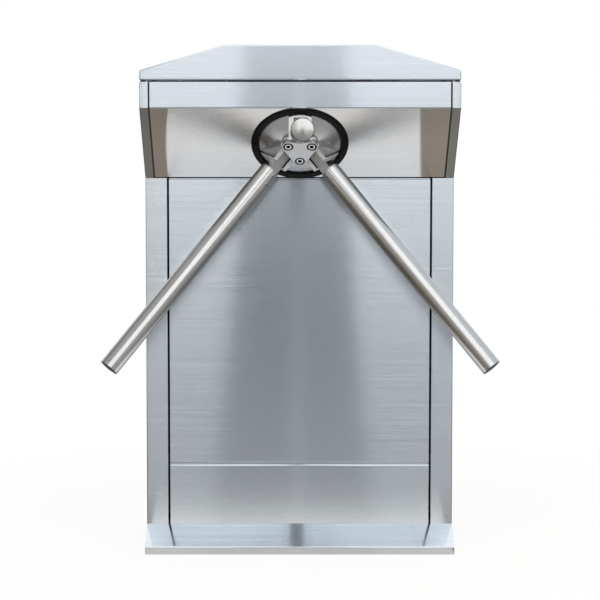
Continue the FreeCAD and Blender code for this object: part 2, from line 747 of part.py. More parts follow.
def three_ears(name, radius, low, high):
    """A rounded triangle: three round ears joined by straight edges."""
    ears = [rod(f"{name}Ear{k}", radius, *ear_spot(k), low, high) for k in range(3)]
    edge_length = "(plate_screw_circle / 2 * sqrt(3))"
    webs = []
    for k in range(3):
        web = doc.addObject("Part::Box", f"{name}Web{k}")
        bind(web, Length=edge_length, Width=f"plate_screw_circle / 4 + {radius}", Height=f"{high} - ({low})")
        turn = FreeCAD.Placement(FreeCAD.Vector(), FreeCAD.Rotation(FreeCAD.Vector(0, 0, 1), 120 * k))
        web.Placement = turn.multiply(FreeCAD.Placement(vector(f"-{edge_length} / 2", 0, low), FreeCAD.Rotation()))
        webs.append(web)
    return fuse(name, *ears, *webs)


plate_boss = three_ears("PlateBoss", "(plate_ear / 2 + gauge)", "0", plate_back)
plate_seat = three_ears("PlateSeat", "(plate_ear / 2 + fit_gap)", plate_back, "pin_distance")
hub_screw_holes = [rod(f"HubScrewHole{k}", "screw_shank / 2 + run_gap", *ear_spot(k), "-hub_back - gauge",
                       "plate_front") for k in range(3)]
hub_blank = fuse("HubBlank", bowl, spider, plate_boss)
hub = cut("RotorHub", hub_blank, fuse("HubSlots", *slots), fuse("HubPinHoles", *pin_holes), plate_seat,
          fuse("HubScrewHoles", *hub_screw_holes))
keep(on_slant(hub), "rotor_hub")

pins = [arm_pin(f"PivotPin{k}", k, "pivot_pin / 2 - run_gap / 2", "knuckle_width", "pin_distance") for k in range(3)]
keep(on_slant(group("PivotPins", *pins)), "arm_pivot_pins")

# Cover plate with counterbored ears, and its socket screws
plate_blank = three_ears("PlateBlank", "plate_ear / 2", plate_back, "plate_front")
seat_floor = f"({plate_back} + gauge)"
recesses = [rod(f"PlateRecess{k}", "screw_recess / 2", *ear_spot(k), seat_floor, "plate_front + gauge")
            for k in range(3)]
plate_holes = [rod(f"PlateHole{k}", "screw_shank / 2 + run_gap", *ear_spot(k), f"{plate_back} - gauge",
                   "plate_front") for k in range(3)]
keep(on_slant(cut("CoverPlate", plate_blank, fuse("PlateRecesses", *recesses), fuse("PlateHoles", *plate_holes))),
     "cover_plate")
shaft_flange_back = "(-hub_back - flange_thickness)"
screws = []
for k in range(3):
    head = rod(f"CoverScrewHead{k}", "screw_head / 2", *ear_spot(k), seat_floor, "plate_front - fit_gap")
    shank = rod(f"CoverScrewShank{k}", "screw_shank / 2", *ear_spot(k), shaft_flange_back, seat_floor)
    socket = doc.addObject("Part::Prism", f"CoverScrewSocket{k}")
    socket.Polygon = 6
    bind(socket, Circumradius="screw_socket / sqrt(3)", Height="screw_shank / 2")
    locate(socket, *ear_spot(k), "plate_front - fit_gap - screw_shank / 2")
    screws.append(cut(f"CoverScrew{k}", fuse(f"CoverScrewBlank{k}", head, shank), socket))
keep(on_slant(group("CoverScrews", *screws)), "cover_screws")


# Arms: forked tongue with a plug, tube, end cap and two button screws, in the arm's own frame
def arm(index):
    tag = f"Arm{index + 1}"
    bore_r = "(arm_diameter / 2 - arm_wall)"
    plug_end = "(tube_start + plug_length)"
    eye_round = arm_pin(f"{tag}EyeRound", index, "tongue_round", "tongue_width", "pin_distance")
    eye_room = arm_box(f"{tag}EyeRoom", index, "-tongue_width", "tongue_width", "-tongue_height / 2",
                       "tongue_round + gauge", "pin_distance - 2 * tongue_round", "pin_distance + 2 * tongue_round")
    eye = common(f"{tag}Eye", eye_round, eye_room)
    neck = arm_box(f"{tag}Neck", index, "-tongue_width / 2", "tongue_width / 2", "-tongue_height / 2",
                   "tongue_height / 2", "pin_distance", "tube_start")
    plug = arm_rod(f"{tag}Plug", index, f"{bore_r} - fit_gap / 2", "tube_start - gauge", plug_end)
    shoulder = arm_rod(f"{tag}Shoulder", index, arm_radius, "tube_start - gauge", "tube_start")
    pin_bore = arm_pin(f"{tag}PinBore", index, "pivot_pin / 2 + run_gap", "tongue_width + gauge", "pin_distance")
    screw_bores, screw_heads = [], []
    for n in range(2):
        along = f"(arm_screw_first + {n} * arm_screw_pitch)"
        for kind, radius, low, high in (
            ("Bore", "arm_screw_head / 4 + run_gap", "arm_diameter / 4", "arm_diameter"),
            ("Head", "arm_screw_head / 2", f"{arm_radius} - arm_wall / 4", f"{arm_radius} + gauge"),
            ("Shank", "arm_screw_head / 4", "arm_diameter / 4", arm_radius),
        ):
            item = doc.addObject("Part::Cylinder", f"{tag}Screw{kind}{n}")
            bind(item, Radius=radius, Height=f"{high} - ({low})")
            item.Placement = FreeCAD.Placement(FreeCAD.Vector(), FreeCAD.Rotation(FreeCAD.Vector(1, 0, 0), 90))
            in_arm(item, index, 0, f"-({low})", along)
            (screw_bores if kind == "Bore" else screw_heads).append(item)
    head_rooms = []
    for n in range(2):
        room = doc.addObject("Part::Cylinder", f"{tag}ScrewRoom{n}")
        bind(room, Radius="arm_screw_head / 2 + run_gap", Height="arm_diameter / 2")
        room.Placement = FreeCAD.Placement(FreeCAD.Vector(), FreeCAD.Rotation(FreeCAD.Vector(1, 0, 0), 90))
        in_arm(room, index, 0, f"-({arm_radius} - arm_wall / 4)", f"arm_screw_first + {n} * arm_screw_pitch")
        head_rooms.append(room)
    blank = fuse(f"{tag}RootBlank", eye, neck, plug, shoulder)
    root = cut(f"{tag}Root", blank, pin_bore, screw_bores[0], screw_bores[1])
    keep(on_slant(root), f"arm_root_{index + 1}")
    outer = arm_rod(f"{tag}TubeOuter", index, arm_radius, "tube_start", "arm_reach - cap_thickness")
    inner = arm_rod(f"{tag}TubeInner", index, bore_r, "tube_start", "arm_reach - cap_thickness")
    tube_bores = []
    for n in range(2):
        hole = doc.addObject("Part::Cylinder", f"{tag}TubeHole{n}")
        bind(hole, Radius="arm_screw_head / 4 + run_gap", Height="arm_diameter / 2")
        hole.Placement = FreeCAD.Placement(FreeCAD.Vector(), FreeCAD.Rotation(FreeCAD.Vector(1, 0, 0), 90))
        in_arm(hole, index, 0, "-arm_diameter / 4", f"(arm_screw_first + {n} * arm_screw_pitch)")
        tube_bores.append(hole)
    tube = cut(f"{tag}Tube", outer, inner, fuse(f"{tag}TubeHoles", *tube_bores),
               fuse(f"{tag}ScrewRooms", *head_rooms))
    keep(on_slant(tube), f"arm_tube_{index + 1}")
    cap_disc = arm_rod(f"{tag}CapDisc", index, arm_radius, "arm_reach - cap_thickness", "arm_reach")
    crown_radius = f"(({arm_radius} ^ 2 + cap_crown ^ 2) / (2 * cap_crown))"
    crown = doc.addObject("Part::Sphere", f"{tag}CapCrown")
    bind(crown, Radius=crown_radius)
    in_arm(crown, index, 0, 0, f"arm_reach - {crown_radius}")
    cap_face = common(f"{tag}CapFace", cap_disc, crown)
    cap_plug = arm_rod(f"{tag}CapPlug", index, f"{bore_r} - fit_gap / 2", "arm_reach - cap_thickness - cap_plug",
                       "arm_reach - cap_thickness")
    keep(on_slant(fuse(f"{tag}Cap", cap_face, cap_plug)), f"arm_cap_{index + 1}")
    button = [fuse(f"{tag}Button{n}", screw_heads[2 * n], screw_heads[2 * n + 1]) for n in range(2)]
    keep(on_slant(group(f"{tag}Buttons", *button)), f"arm_screws_{index + 1}")


for k in range(3):
    arm(k)

# Mechanism: carrier rails from cheek to cheek, mechanism plate, bearing housing
plate_rear = "(plate_depth + carrier_plate)"
slant_half = "(head_overhang / sqrt(2))"
carrier_outer = f"({slant_half} - gauge)"
carrier_inner = f"({carrier_outer} - carrier_side)"
carriers = []
for n, (y0, y1) in enumerate(((carrier_inner, carrier_outer), (f"-{carrier_outer}", f"-{carrier_inner}"))):
    solid = box(f"Carrier{n}Solid", f"-({half} - gauge)", f"{half} - gauge", y0, y1,
                f"-{plate_rear} - carrier_side", f"-{plate_rear}")
    bore = box(f"Carrier{n}Bore", f"-({half} - gauge)", f"{half} - gauge", f"{y0} + tube_wall",
               f"{y1} - tube_wall", f"-{plate_rear} - carrier_side + tube_wall", f"-{plate_rear} - tube_wall")
    carriers.append(cut(f"Carrier{n}", solid, bore))
for item in carriers:
    on_slant(item)
keep(group("FrameRails", *rails, *carriers), "frame_rails")

housing_r = "(bearing_outer / 2 + housing_wall)"
plate_box = box("MechanismPlateBlank", "-carrier_width / 2", "carrier_width / 2", f"-{carrier_outer}",
                carrier_outer, f"-{plate_rear}", "-plate_depth")
plate_bore = rod("MechanismPlateBore", f"{housing_r} + run_gap", 0, 0, f"-{plate_rear} - gauge",
                 "-plate_depth + gauge")
bolt_spots = [(f"housing_bolt_circle / 2 * cos({45 + 90 * k})", f"housing_bolt_circle / 2 * sin({45 + 90 * k})")
              for k in range(4)]
plate_bolts = [rod(f"MechanismPlateHole{k}", "screw_shank / 2 + run_gap", *spot, f"-{plate_rear} - gauge",
                   "-plate_depth + gauge") for k, spot in enumerate(bolt_spots)]
mechanism_plate = cut("MechanismPlate", plate_box, plate_bore, fuse("MechanismPlateHoles", *plate_bolts))
keep(on_slant(mechanism_plate), "mechanism_plate")

housing_front = "(plate_depth - gauge)"
housing_back = f"({housing_front} + housing_length)"
seat_r = "(bearing_outer / 2 + run_gap)"
seat_depth = "(bearing_width + gauge)"
housing_body = turned("HousingBody", [
    (seat_r, f"-{housing_front}"), (housing_r, f"-{housing_front}"), (housing_r, f"-{plate_rear}"),
    ("housing_flange / 2", f"-{plate_rear}"), ("housing_flange / 2", f"-{plate_rear} - housing_flange_thickness"),
    (housing_r, f"-{plate_rear} - housing_flange_thickness"), (housing_r, f"-{housing_back}"),
    (seat_r, f"-{housing_back}"), (seat_r, f"-{housing_back} + {seat_depth}"),
    (f"{seat_r} - gauge", f"-{housing_back} + {seat_depth}"),
    (f"{seat_r} - gauge", f"-{housing_front} - {seat_depth}"), (seat_r, f"-{housing_front} - {seat_depth}"),
])
housing_holes = [rod(f"HousingHole{k}", "screw_shank / 2 + run_gap", *spot,
                     f"-{plate_rear} - 2 * housing_flange_thickness", f"-{plate_rear} + gauge")
                 for k, spot in enumerate(bolt_spots)]
keep(on_slant(cut("Housing", housing_body, fuse("HousingHoles", *housing_holes))), "bearing_housing")
bolts = []
bolt_seat = f"(-{plate_rear} - housing_flange_thickness)"
for k, spot in enumerate(bolt_spots):
    head = rod(f"HousingBoltHead{k}", "screw_head / 2", *spot, f"{bolt_seat} - screw_shank", bolt_seat)
    shank = rod(f"HousingBoltShank{k}", "screw_shank / 2", *spot, bolt_seat, "-plate_depth")
    bolts.append(fuse(f"HousingBolt{k}", head, shank))

race = "(bearing_outer / 2 - journal / 2) / 3"
bearings = []
for n, low in enumerate((f"(-{housing_front} - {seat_depth})", f"(-{housing_back} + gauge)")):
    # shields lie a little inside the races on both faces
    inset = "(bearing_width / 8)"
    bearings.append(turned(f"Bearing{n}", [
        ("journal / 2", low), (f"journal / 2 + {race}", low), (f"journal / 2 + {race}", f"{low} + {inset}"),
        (f"bearing_outer / 2 - {race}", f"{low} + {inset}"), (f"bearing_outer / 2 - {race}", low),
        ("bearing_outer / 2", low), ("bearing_outer / 2", f"{low} + bearing_width"),
        (f"bearing_outer / 2 - {race}", f"{low} + bearing_width"),
        (f"bearing_outer / 2 - {race}", f"{low} + bearing_width - {inset}"),
        (f"journal / 2 + {race}", f"{low} + bearing_width - {inset}"),
        (f"journal / 2 + {race}", f"{low} + bearing_width"), ("journal / 2", f"{low} + bearing_width"),
    ]))
keep(on_slant(group("Bearings", *bearings)), "bearings")

# Shaft: flange under the hub, two journals, then gear, lock disc and nut
journal_r = "(journal / 2 - run_gap)"
gear_front = f"({housing_back} + gear_gap)"
gear_back = f"({gear_front} + gear_width)"
disc_front = f"({gear_back} + gear_gap)"
disc_back = f"({disc_front} + lock_disc_width)"
nut_back = f"({disc_back} + nut_width)"
shoulder_low = f"(-{housing_back} + {seat_depth} + fit_gap)"
shoulder_high = f"(-{housing_front} - {seat_depth} - fit_gap)"
shaft_body = turned("ShaftBody", [
    ("0", "-hub_back"), ("flange_diameter / 2", "-hub_back"), ("flange_diameter / 2", shaft_flange_back),
    (journal_r, shaft_flange_back), (journal_r, shoulder_high), ("shaft_shoulder / 2", shoulder_high),
    ("shaft_shoulder / 2", shoulder_low), (journal_r, shoulder_low), (journal_r, f"-{nut_back} - gauge"),
    ("0", f"-{nut_back} - gauge"),
])
shaft_holes = [rod(f"ShaftScrewHole{k}", "screw_shank / 2 + run_gap", *ear_spot(k),
                   f"{shaft_flange_back} - gauge", "0") for k in range(3)]
keep(on_slant(cut("Shaft", shaft_body, fuse("ShaftScrewHoles", *shaft_holes))), "rotor_shaft")


def gear_face(teeth, bore, turn):
    """An involute spur gear outline, thinned for backlash, with a round bore if it has one."""
    module = number("gear_module")
    pitch_r = module * teeth / 2
    base_r = pitch_r * math.cos(math.radians(20))
    tip_r = pitch_r + 0.9 * module
    root_r = pitch_r - 1.25 * module
    start_r = max(base_r, root_r + 0.05 * module)
    slim = 0.08 * module / pitch_r
    roll = math.tan(math.radians(20)) - math.radians(20)
    half_tooth = math.pi / (2 * teeth) + roll - slim
    points = []
    for tooth in range(teeth):
        middle = turn + 2 * math.pi * tooth / teeth
        flank = []
        for step in range(5):
            radius = start_r + (tip_r - start_r) * step / 4
            tangent = math.sqrt(max((radius / base_r) ** 2 - 1, 0))
            flank.append((radius, half_tooth - (tangent - math.atan(tangent))))
        side = [(root_r, flank[0][1])] + flank
        points += [(r, middle - a) for r, a in side]
        points += [(r, middle + a) for r, a in reversed(side)]
    spots = [FreeCAD.Vector(r * math.cos(a), r * math.sin(a), 0) for r, a in points]
    outline = Part.Wire(Part.makePolygon(spots + spots[:1]))
    if not bore:
        return Part.Face(outline)
    return Part.makeFace([outline, Part.Wire(Part.makeCircle(bore))], "Part::FaceMakerBullseye")


def gear(name, teeth, bore, turn, x, y, low, high):
    item = doc.addObject("Part::Feature", name)
    face = gear_face(int(number(teeth)), number(bore), turn)
    item.Shape = face.extrude(FreeCAD.Vector(0, 0, number(high) - number(low)))
    item.Placement = FreeCAD.Placement(vector(x, y, low), FreeCAD.Rotation())
    return item


drive_gear = gear("DriveGear", "drive_teeth", "journal / 2", 0, 0, 0, f"-{gear_back}", f"-{gear_front}")
keep(on_slant(group("DriveGearBody", drive_gear)), "drive_gear")

mesh_distance = "(gear_module * (drive_teeth + pinion_teeth) / 2)"


def mesh_turn(direction):
    """The turn that puts a gap of a pinion on the drive gear's tooth nearest to that direction."""
    drive, small = number("drive_teeth"), number("pinion_teeth")
    pitch = 2 * math.pi / drive
    lead = round(direction / pitch) * pitch - direction
    return direction + math.pi - lead * drive / small + math.pi / small


pinion = gear("PinionGear", "pinion_teeth", "0", mesh_turn(math.pi), f"-{mesh_distance}", 0,
              f"-{gear_back}", f"-{gear_front}")
pinion_rod = rod("PinionRod", "pinion_shaft / 2 - run_gap", f"-{mesh_distance}", 0, f"-{gear_back}",
                 f"-{gear_front} + damper_diameter")
keep(on_slant(fuse("DamperPinion", pinion, pinion_rod)), "damper_pinion")
damper_case = rod("DamperCase", "damper_diameter / 2", f"-{mesh_distance}", 0, f"-{gear_front} + gear_gap",
                  f"-{plate_rear}")
damper_bore = rod("DamperBore", "pinion_shaft / 2", f"-{mesh_distance}", 0, f"-{gear_front}",
                  f"-{gear_front} + damper_diameter + gauge")
keep(on_slant(cut("Damper", damper_case, damper_bore)), "damper")

# Lock disc: six notches, one pair per arm position
disc_body = doc.addObject("PartDesign::Body", "LockDisc")
disc_sketch = sketch_on(disc_body, "XY_Plane", "LockDisc_profile", f"-{disc_back}")
circle(disc_sketch, "0", "0", "lock_disc_diameter / 2")
circle(disc_sketch, "0", "0", "journal / 2")
pad(disc_body, disc_sketch, "lock_disc_width")
notch_sketch = sketch_on(disc_body, "XY_Plane", "LockDisc_notch", f"-{disc_back}")
notch_in = "(lock_disc_diameter / 2 - notch_depth)"
polygon(notch_sketch, [(notch_in, "-notch_width / 2"), ("lock_disc_diameter", "-notch_width / 2"),
                       ("lock_disc_diameter", "notch_width / 2"), (notch_in, "notch_width / 2")])
notch = pocket(disc_body, notch_sketch, "lock_disc_width", reversed=True)
ring_of_notches = disc_body.newObject("PartDesign::PolarPattern", "LockDisc_notches")
ring_of_notches.Originals = [notch]
ring_of_notches.Axis = (disc_sketch, ["N_Axis"])
ring_of_notches.Angle = 360
ring_of_notches.Occurrences = int(number("notches"))
disc_body.Tip = ring_of_notches
keep(on_slant(disc_body), "lock_disc")

nut_blank = doc.addObject("Part::Prism", "ShaftNutBlank")
nut_blank.Polygon = 6
bind(nut_blank, Circumradius="nut_diameter / 2", Height="nut_width")
locate(nut_blank, 0, 0, f"-{nut_back}")
nut_bore = rod("ShaftNutBore", "journal / 2", 0, 0, f"-{nut_back} - gauge", f"-{disc_back} + gauge")
keep(on_slant(cut("ShaftNut", nut_blank, nut_bore)), "shaft_nut")

# Lock plate behind the discs on four standoffs, with the crank's axle and the pawls' pins riveted in
lock_plate_back = "(lock_plate_depth + lock_plate_thickness)"
lock_blank = box("LockPlateBlank", "-carrier_width / 2", "carrier_width / 2", "-lock_plate_height / 2",
                 "lock_plate_height / 2", f"-{lock_plate_back}", "-lock_plate_depth")
standoffs = [rod(f"Standoff{n}", "standoff / 2", f"{sign_x}standoff_x", f"{sign_y}standoff_y", "-lock_plate_depth",
                 f"-{plate_rear}") for n, (sign_x, sign_y) in enumerate(corners)]
keep(on_slant(group("Fasteners", *bolts, *standoffs)), "bolts_and_standoffs")

# Centring crank: a third of a rotor turn makes one whole crank turn against the spring
lean = math.atan2(number(f"standoff_y - {mesh_distance}"), number("standoff_x"))
crank_gear = gear("CrankGear", "pinion_teeth", "stub_axle / 2", mesh_turn(math.pi / 2), 0, mesh_distance,
                  f"-{gear_back}", f"-{gear_front}")
crank_x = f"crank_throw * {math.cos(lean):.6f}"
crank_y = f"({mesh_distance} + crank_throw * {math.sin(lean):.6f})"
crank_web = rod("CrankWeb", "crank_throw + crank_pin * 2 / 3", 0, mesh_distance, f"-{gear_front}",
                f"-{gear_front} + gear_gap / 2")
crank_post = rod("CrankPost", "crank_pin / 2", crank_x, crank_y, f"-{gear_front}",
                 f"-{gear_front} + gear_gap + spring_diameter")
keep(on_slant(fuse("Crank", crank_gear, crank_web, crank_post)), "centring_crank")
stub = rod("StubAxle", "stub_axle / 2 - run_gap", 0, mesh_distance, "-lock_plate_depth", f"-{gear_front} - fit_gap")

spring_low = f"(-{gear_front} + gear_gap + spring_diameter / 2)"
spring_item = doc.addObject("Part::Cylinder", "CentringSpring")
spring_from = vector(crank_x, crank_y, spring_low)
spring_to = vector("standoff_x", "standoff_y", spring_low)
spring_way = spring_to - spring_from
spring_way.normalize()
spring_start = spring_from + spring_way * (number("crank_pin / 2 + fit_gap"))
spring_item.Radius = number("spring_diameter / 2")
spring_item.Height = (spring_to - spring_from).Length - number("crank_pin / 2 + standoff / 2 + 2 * fit_gap")
spring_item.Placement = FreeCAD.Placement(spring_start, FreeCAD.Rotation(FreeCAD.Vector(0, 0, 1), spring_way))
keep(on_slant(group("CentringSpringBody", spring_item)), "centring_spring")


# Pawls: released at rest, each swings its tooth into a notch of the lock disc
def pawl_set(side, label):
    sign = "-" if side < 0 else ""
    name = f"Pawl{label.title()}"
    tooth_tip = "(lock_disc_diameter / 2 + 2 * turn_gap)"
    inner = "(pawl_pivot_x - pawl_width / 2)"
    outer = "(pawl_pivot_x + pawl_width / 2)"
    outline = [
        (outer, "-pawl_pivot_y"), (outer, "pawl_top"), (f"{inner} + turn_gap", "pawl_top"),
        (f"{inner} + turn_gap", "pawl_tooth / 2"), (tooth_tip, "pawl_tooth / 2"), (tooth_tip, "-pawl_tooth / 2"),
        (inner, "-pawl_tooth / 2 - pawl_tooth"), (inner, "-pawl_pivot_y"),
    ]
    body = prism(name, "XY_Plane", [(f"{side} * ({x})", y) for x, y in outline],
                 "lock_disc_width - 2 * turn_gap", symmetric=False, offset=f"-{disc_back} + turn_gap")
    boss = rod(f"{name}Boss", "pawl_width / 2", f"{sign}pawl_pivot_x", "-pawl_pivot_y",
               f"-{disc_back} + turn_gap", f"-{disc_front} - turn_gap")
    hole = rod(f"{name}Hole", "pawl_pin / 2 + run_gap", f"{sign}pawl_pivot_x", "-pawl_pivot_y",
               f"-{disc_back} - gauge", f"-{disc_front} + gauge")
    keep(on_slant(cut(f"{name}Body", fuse(f"{name}Blank", body, boss), hole)), f"pawl_{label}")
    pin = rod(f"{name}Pin", "pawl_pin / 2", f"{sign}pawl_pivot_x", "-pawl_pivot_y", "-lock_plate_depth",
              f"-{disc_front}")
    middle = f"(-{disc_front} - lock_disc_width / 2)"
    coil_low, coil_high = ("(carrier_width / 2 - solenoid_length)", "(carrier_width / 2)")
    x0, x1 = (coil_low, coil_high) if side > 0 else (f"-({coil_high})", f"-({coil_low})")
    coil = box(f"{name}Coil", x0, x1, "-plunger_drop - solenoid_width / 2", "-plunger_drop + solenoid_width / 2",
               "-lock_plate_depth", f"{middle} + solenoid_width / 2 - gear_gap")
    tip = f"({outer} + fit_gap)"
    inside = "(carrier_width / 2 - solenoid_length / 2)"
    r0, r1 = (tip, inside) if side > 0 else (f"-{inside}", f"-{tip}")
    bore = cross_rod(f"{name}CoilBore", "plunger / 2 + run_gap", f"{x0} - gauge", f"{x1} + gauge", "-plunger_drop",
                     middle)
    rod_item = cross_rod(f"{name}Plunger", "plunger / 2", r0, r1, "-plunger_drop", middle)
    keep(on_slant(group(f"{name}PlungerBody", rod_item)), f"plunger_{label}")
    return pin, cut(f"{name}Solenoid", coil, bore)


left_pin, left_coil = pawl_set(-1, "left")
right_pin, right_coil = pawl_set(1, "right")
keep(on_slant(fuse("LockPlate", lock_blank, stub, left_pin, right_pin)), "lock_plate")
keep(on_slant(group("Solenoids", left_coil, right_coil)), "solenoids")

# Electronics inside the body, on a plate across the rear rails
tray_back = f"({rail_rear} - rail_depth)"
component_face = f"({tray_back} - gauge)"
component = box("ComponentPlate", f"-{tray_x}", tray_x, component_face, tray_back, "component_low",
                f"{body_top} - row_seam - gauge")
supply_end = f"(supply_inset - {tray_x})"
supply = box("PowerSupply", supply_end, f"{supply_end} + supply_length",
             f"{component_face} - supply_depth", component_face, "supply_low", "supply_low + supply_height")
keep(supply, "power_supply")
board_back = f"({component_face} - board_gap)"
board = box("ControlBoard", "-board_length / 2", "board_length / 2", f"{board_back} - board_thickness", board_back,
            "board_low", "board_low + board_height")
keep(board, "control_board")
spacers = []
for n, (sign_x, sign_z) in enumerate(corners):
    item = doc.addObject("Part::Cylinder", f"BoardSpacer{n}")
    bind(item, Radius="spacer / 2", Height="board_gap")
    item.Placement = FreeCAD.Placement(FreeCAD.Vector(), FreeCAD.Rotation(FreeCAD.Vector(1, 0, 0), 90))
    locate(item, f"{sign_x}(board_length / 2 - spacer_inset)", component_face,
           f"board_low + board_height / 2 + {sign_z}(board_height / 2 - spacer_inset)")
    spacers.append(item)
keep(fuse("ComponentTray", component, *spacers), "component_plate")

doc.recompute()
failed = [item.Name for item in doc.Objects if "Invalid" in item.State or "Error" in item.State]
if failed:
    raise RuntimeError(f"objects failed: {failed}")
for item in parts:
    shape = item.Shape
    if shape.isNull() or not shape.isValid() or not shape.Solids:
        raise RuntimeError(f"{item.Label} has no valid solid")
os.makedirs("parts", exist_ok=True)
for item in parts:
    item.Shape.exportStep(f"parts/{item.Label}.step")
    box_now = item.Shape.BoundBox
    print(f"{item.Label}: {len(item.Shape.Solids)} solids, {item.Shape.Volume / 1000:.1f} cm3,"
          f" x {box_now.XMin:.1f}..{box_now.XMax:.1f} y {box_now.YMin:.1f}..{box_now.YMax:.1f}"
          f" z {box_now.ZMin:.1f}..{box_now.ZMax:.1f}")
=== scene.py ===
import bmesh
import bpy
import json
import math
from mathutils import Matrix, Vector


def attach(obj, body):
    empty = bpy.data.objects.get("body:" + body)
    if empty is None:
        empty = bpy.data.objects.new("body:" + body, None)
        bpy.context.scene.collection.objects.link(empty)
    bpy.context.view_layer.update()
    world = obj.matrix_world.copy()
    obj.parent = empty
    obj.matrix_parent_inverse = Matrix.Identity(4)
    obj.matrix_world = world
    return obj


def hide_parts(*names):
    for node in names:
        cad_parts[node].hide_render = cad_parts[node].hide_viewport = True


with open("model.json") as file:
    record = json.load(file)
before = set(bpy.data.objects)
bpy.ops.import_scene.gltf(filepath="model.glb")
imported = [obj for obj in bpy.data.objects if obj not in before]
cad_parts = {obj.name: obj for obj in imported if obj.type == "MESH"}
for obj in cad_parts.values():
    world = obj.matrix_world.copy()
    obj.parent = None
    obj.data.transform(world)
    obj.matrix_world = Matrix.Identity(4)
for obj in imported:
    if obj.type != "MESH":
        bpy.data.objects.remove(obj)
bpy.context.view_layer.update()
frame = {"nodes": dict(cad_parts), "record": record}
nodes = frame["nodes"]
bodies = frame["record"]["behaviour"]["bodies"]
bodyOf = {node: body for body, members in bodies.items() for node in members}
slotOf = {entry["node"]: entry["material_slot"] for entry in frame["record"]["subparts"]}
scene = bpy.context.scene
scene.view_settings.view_transform = "Standard"
print("frame loaded:", len(nodes), "nodes")

# camera at the photo's eye height, tipped and shifted down to frame the whole case
cameraView = {
    "lens": 103.03,
    "sensor": 36,
    "clipEnd": 60,
    "spot": (-0.027, -3.6649, 0.838),
    "pitch": 86.0,
    "shiftX": 0.0222,
    "shiftY": -0.0482,
}
cameraData = bpy.data.cameras.new("passageView")
cameraData.lens = cameraView["lens"]
cameraData.sensor_width = cameraView["sensor"]
cameraData.shift_x = cameraView["shiftX"]
cameraData.shift_y = cameraView["shiftY"]
cameraData.clip_end = cameraView["clipEnd"]
camera = bpy.data.objects.new("passageView", cameraData)
camera.location = cameraView["spot"]
camera.rotation_euler = (math.radians(cameraView["pitch"]), 0, 0)
scene.collection.objects.link(camera)
scene.camera = camera

# soft studio: white surround, soft lamps, and cards that only reflections see
def patch(left, right, low, high):
    return [(left, low), (right, low), (right, high), (left, high)]


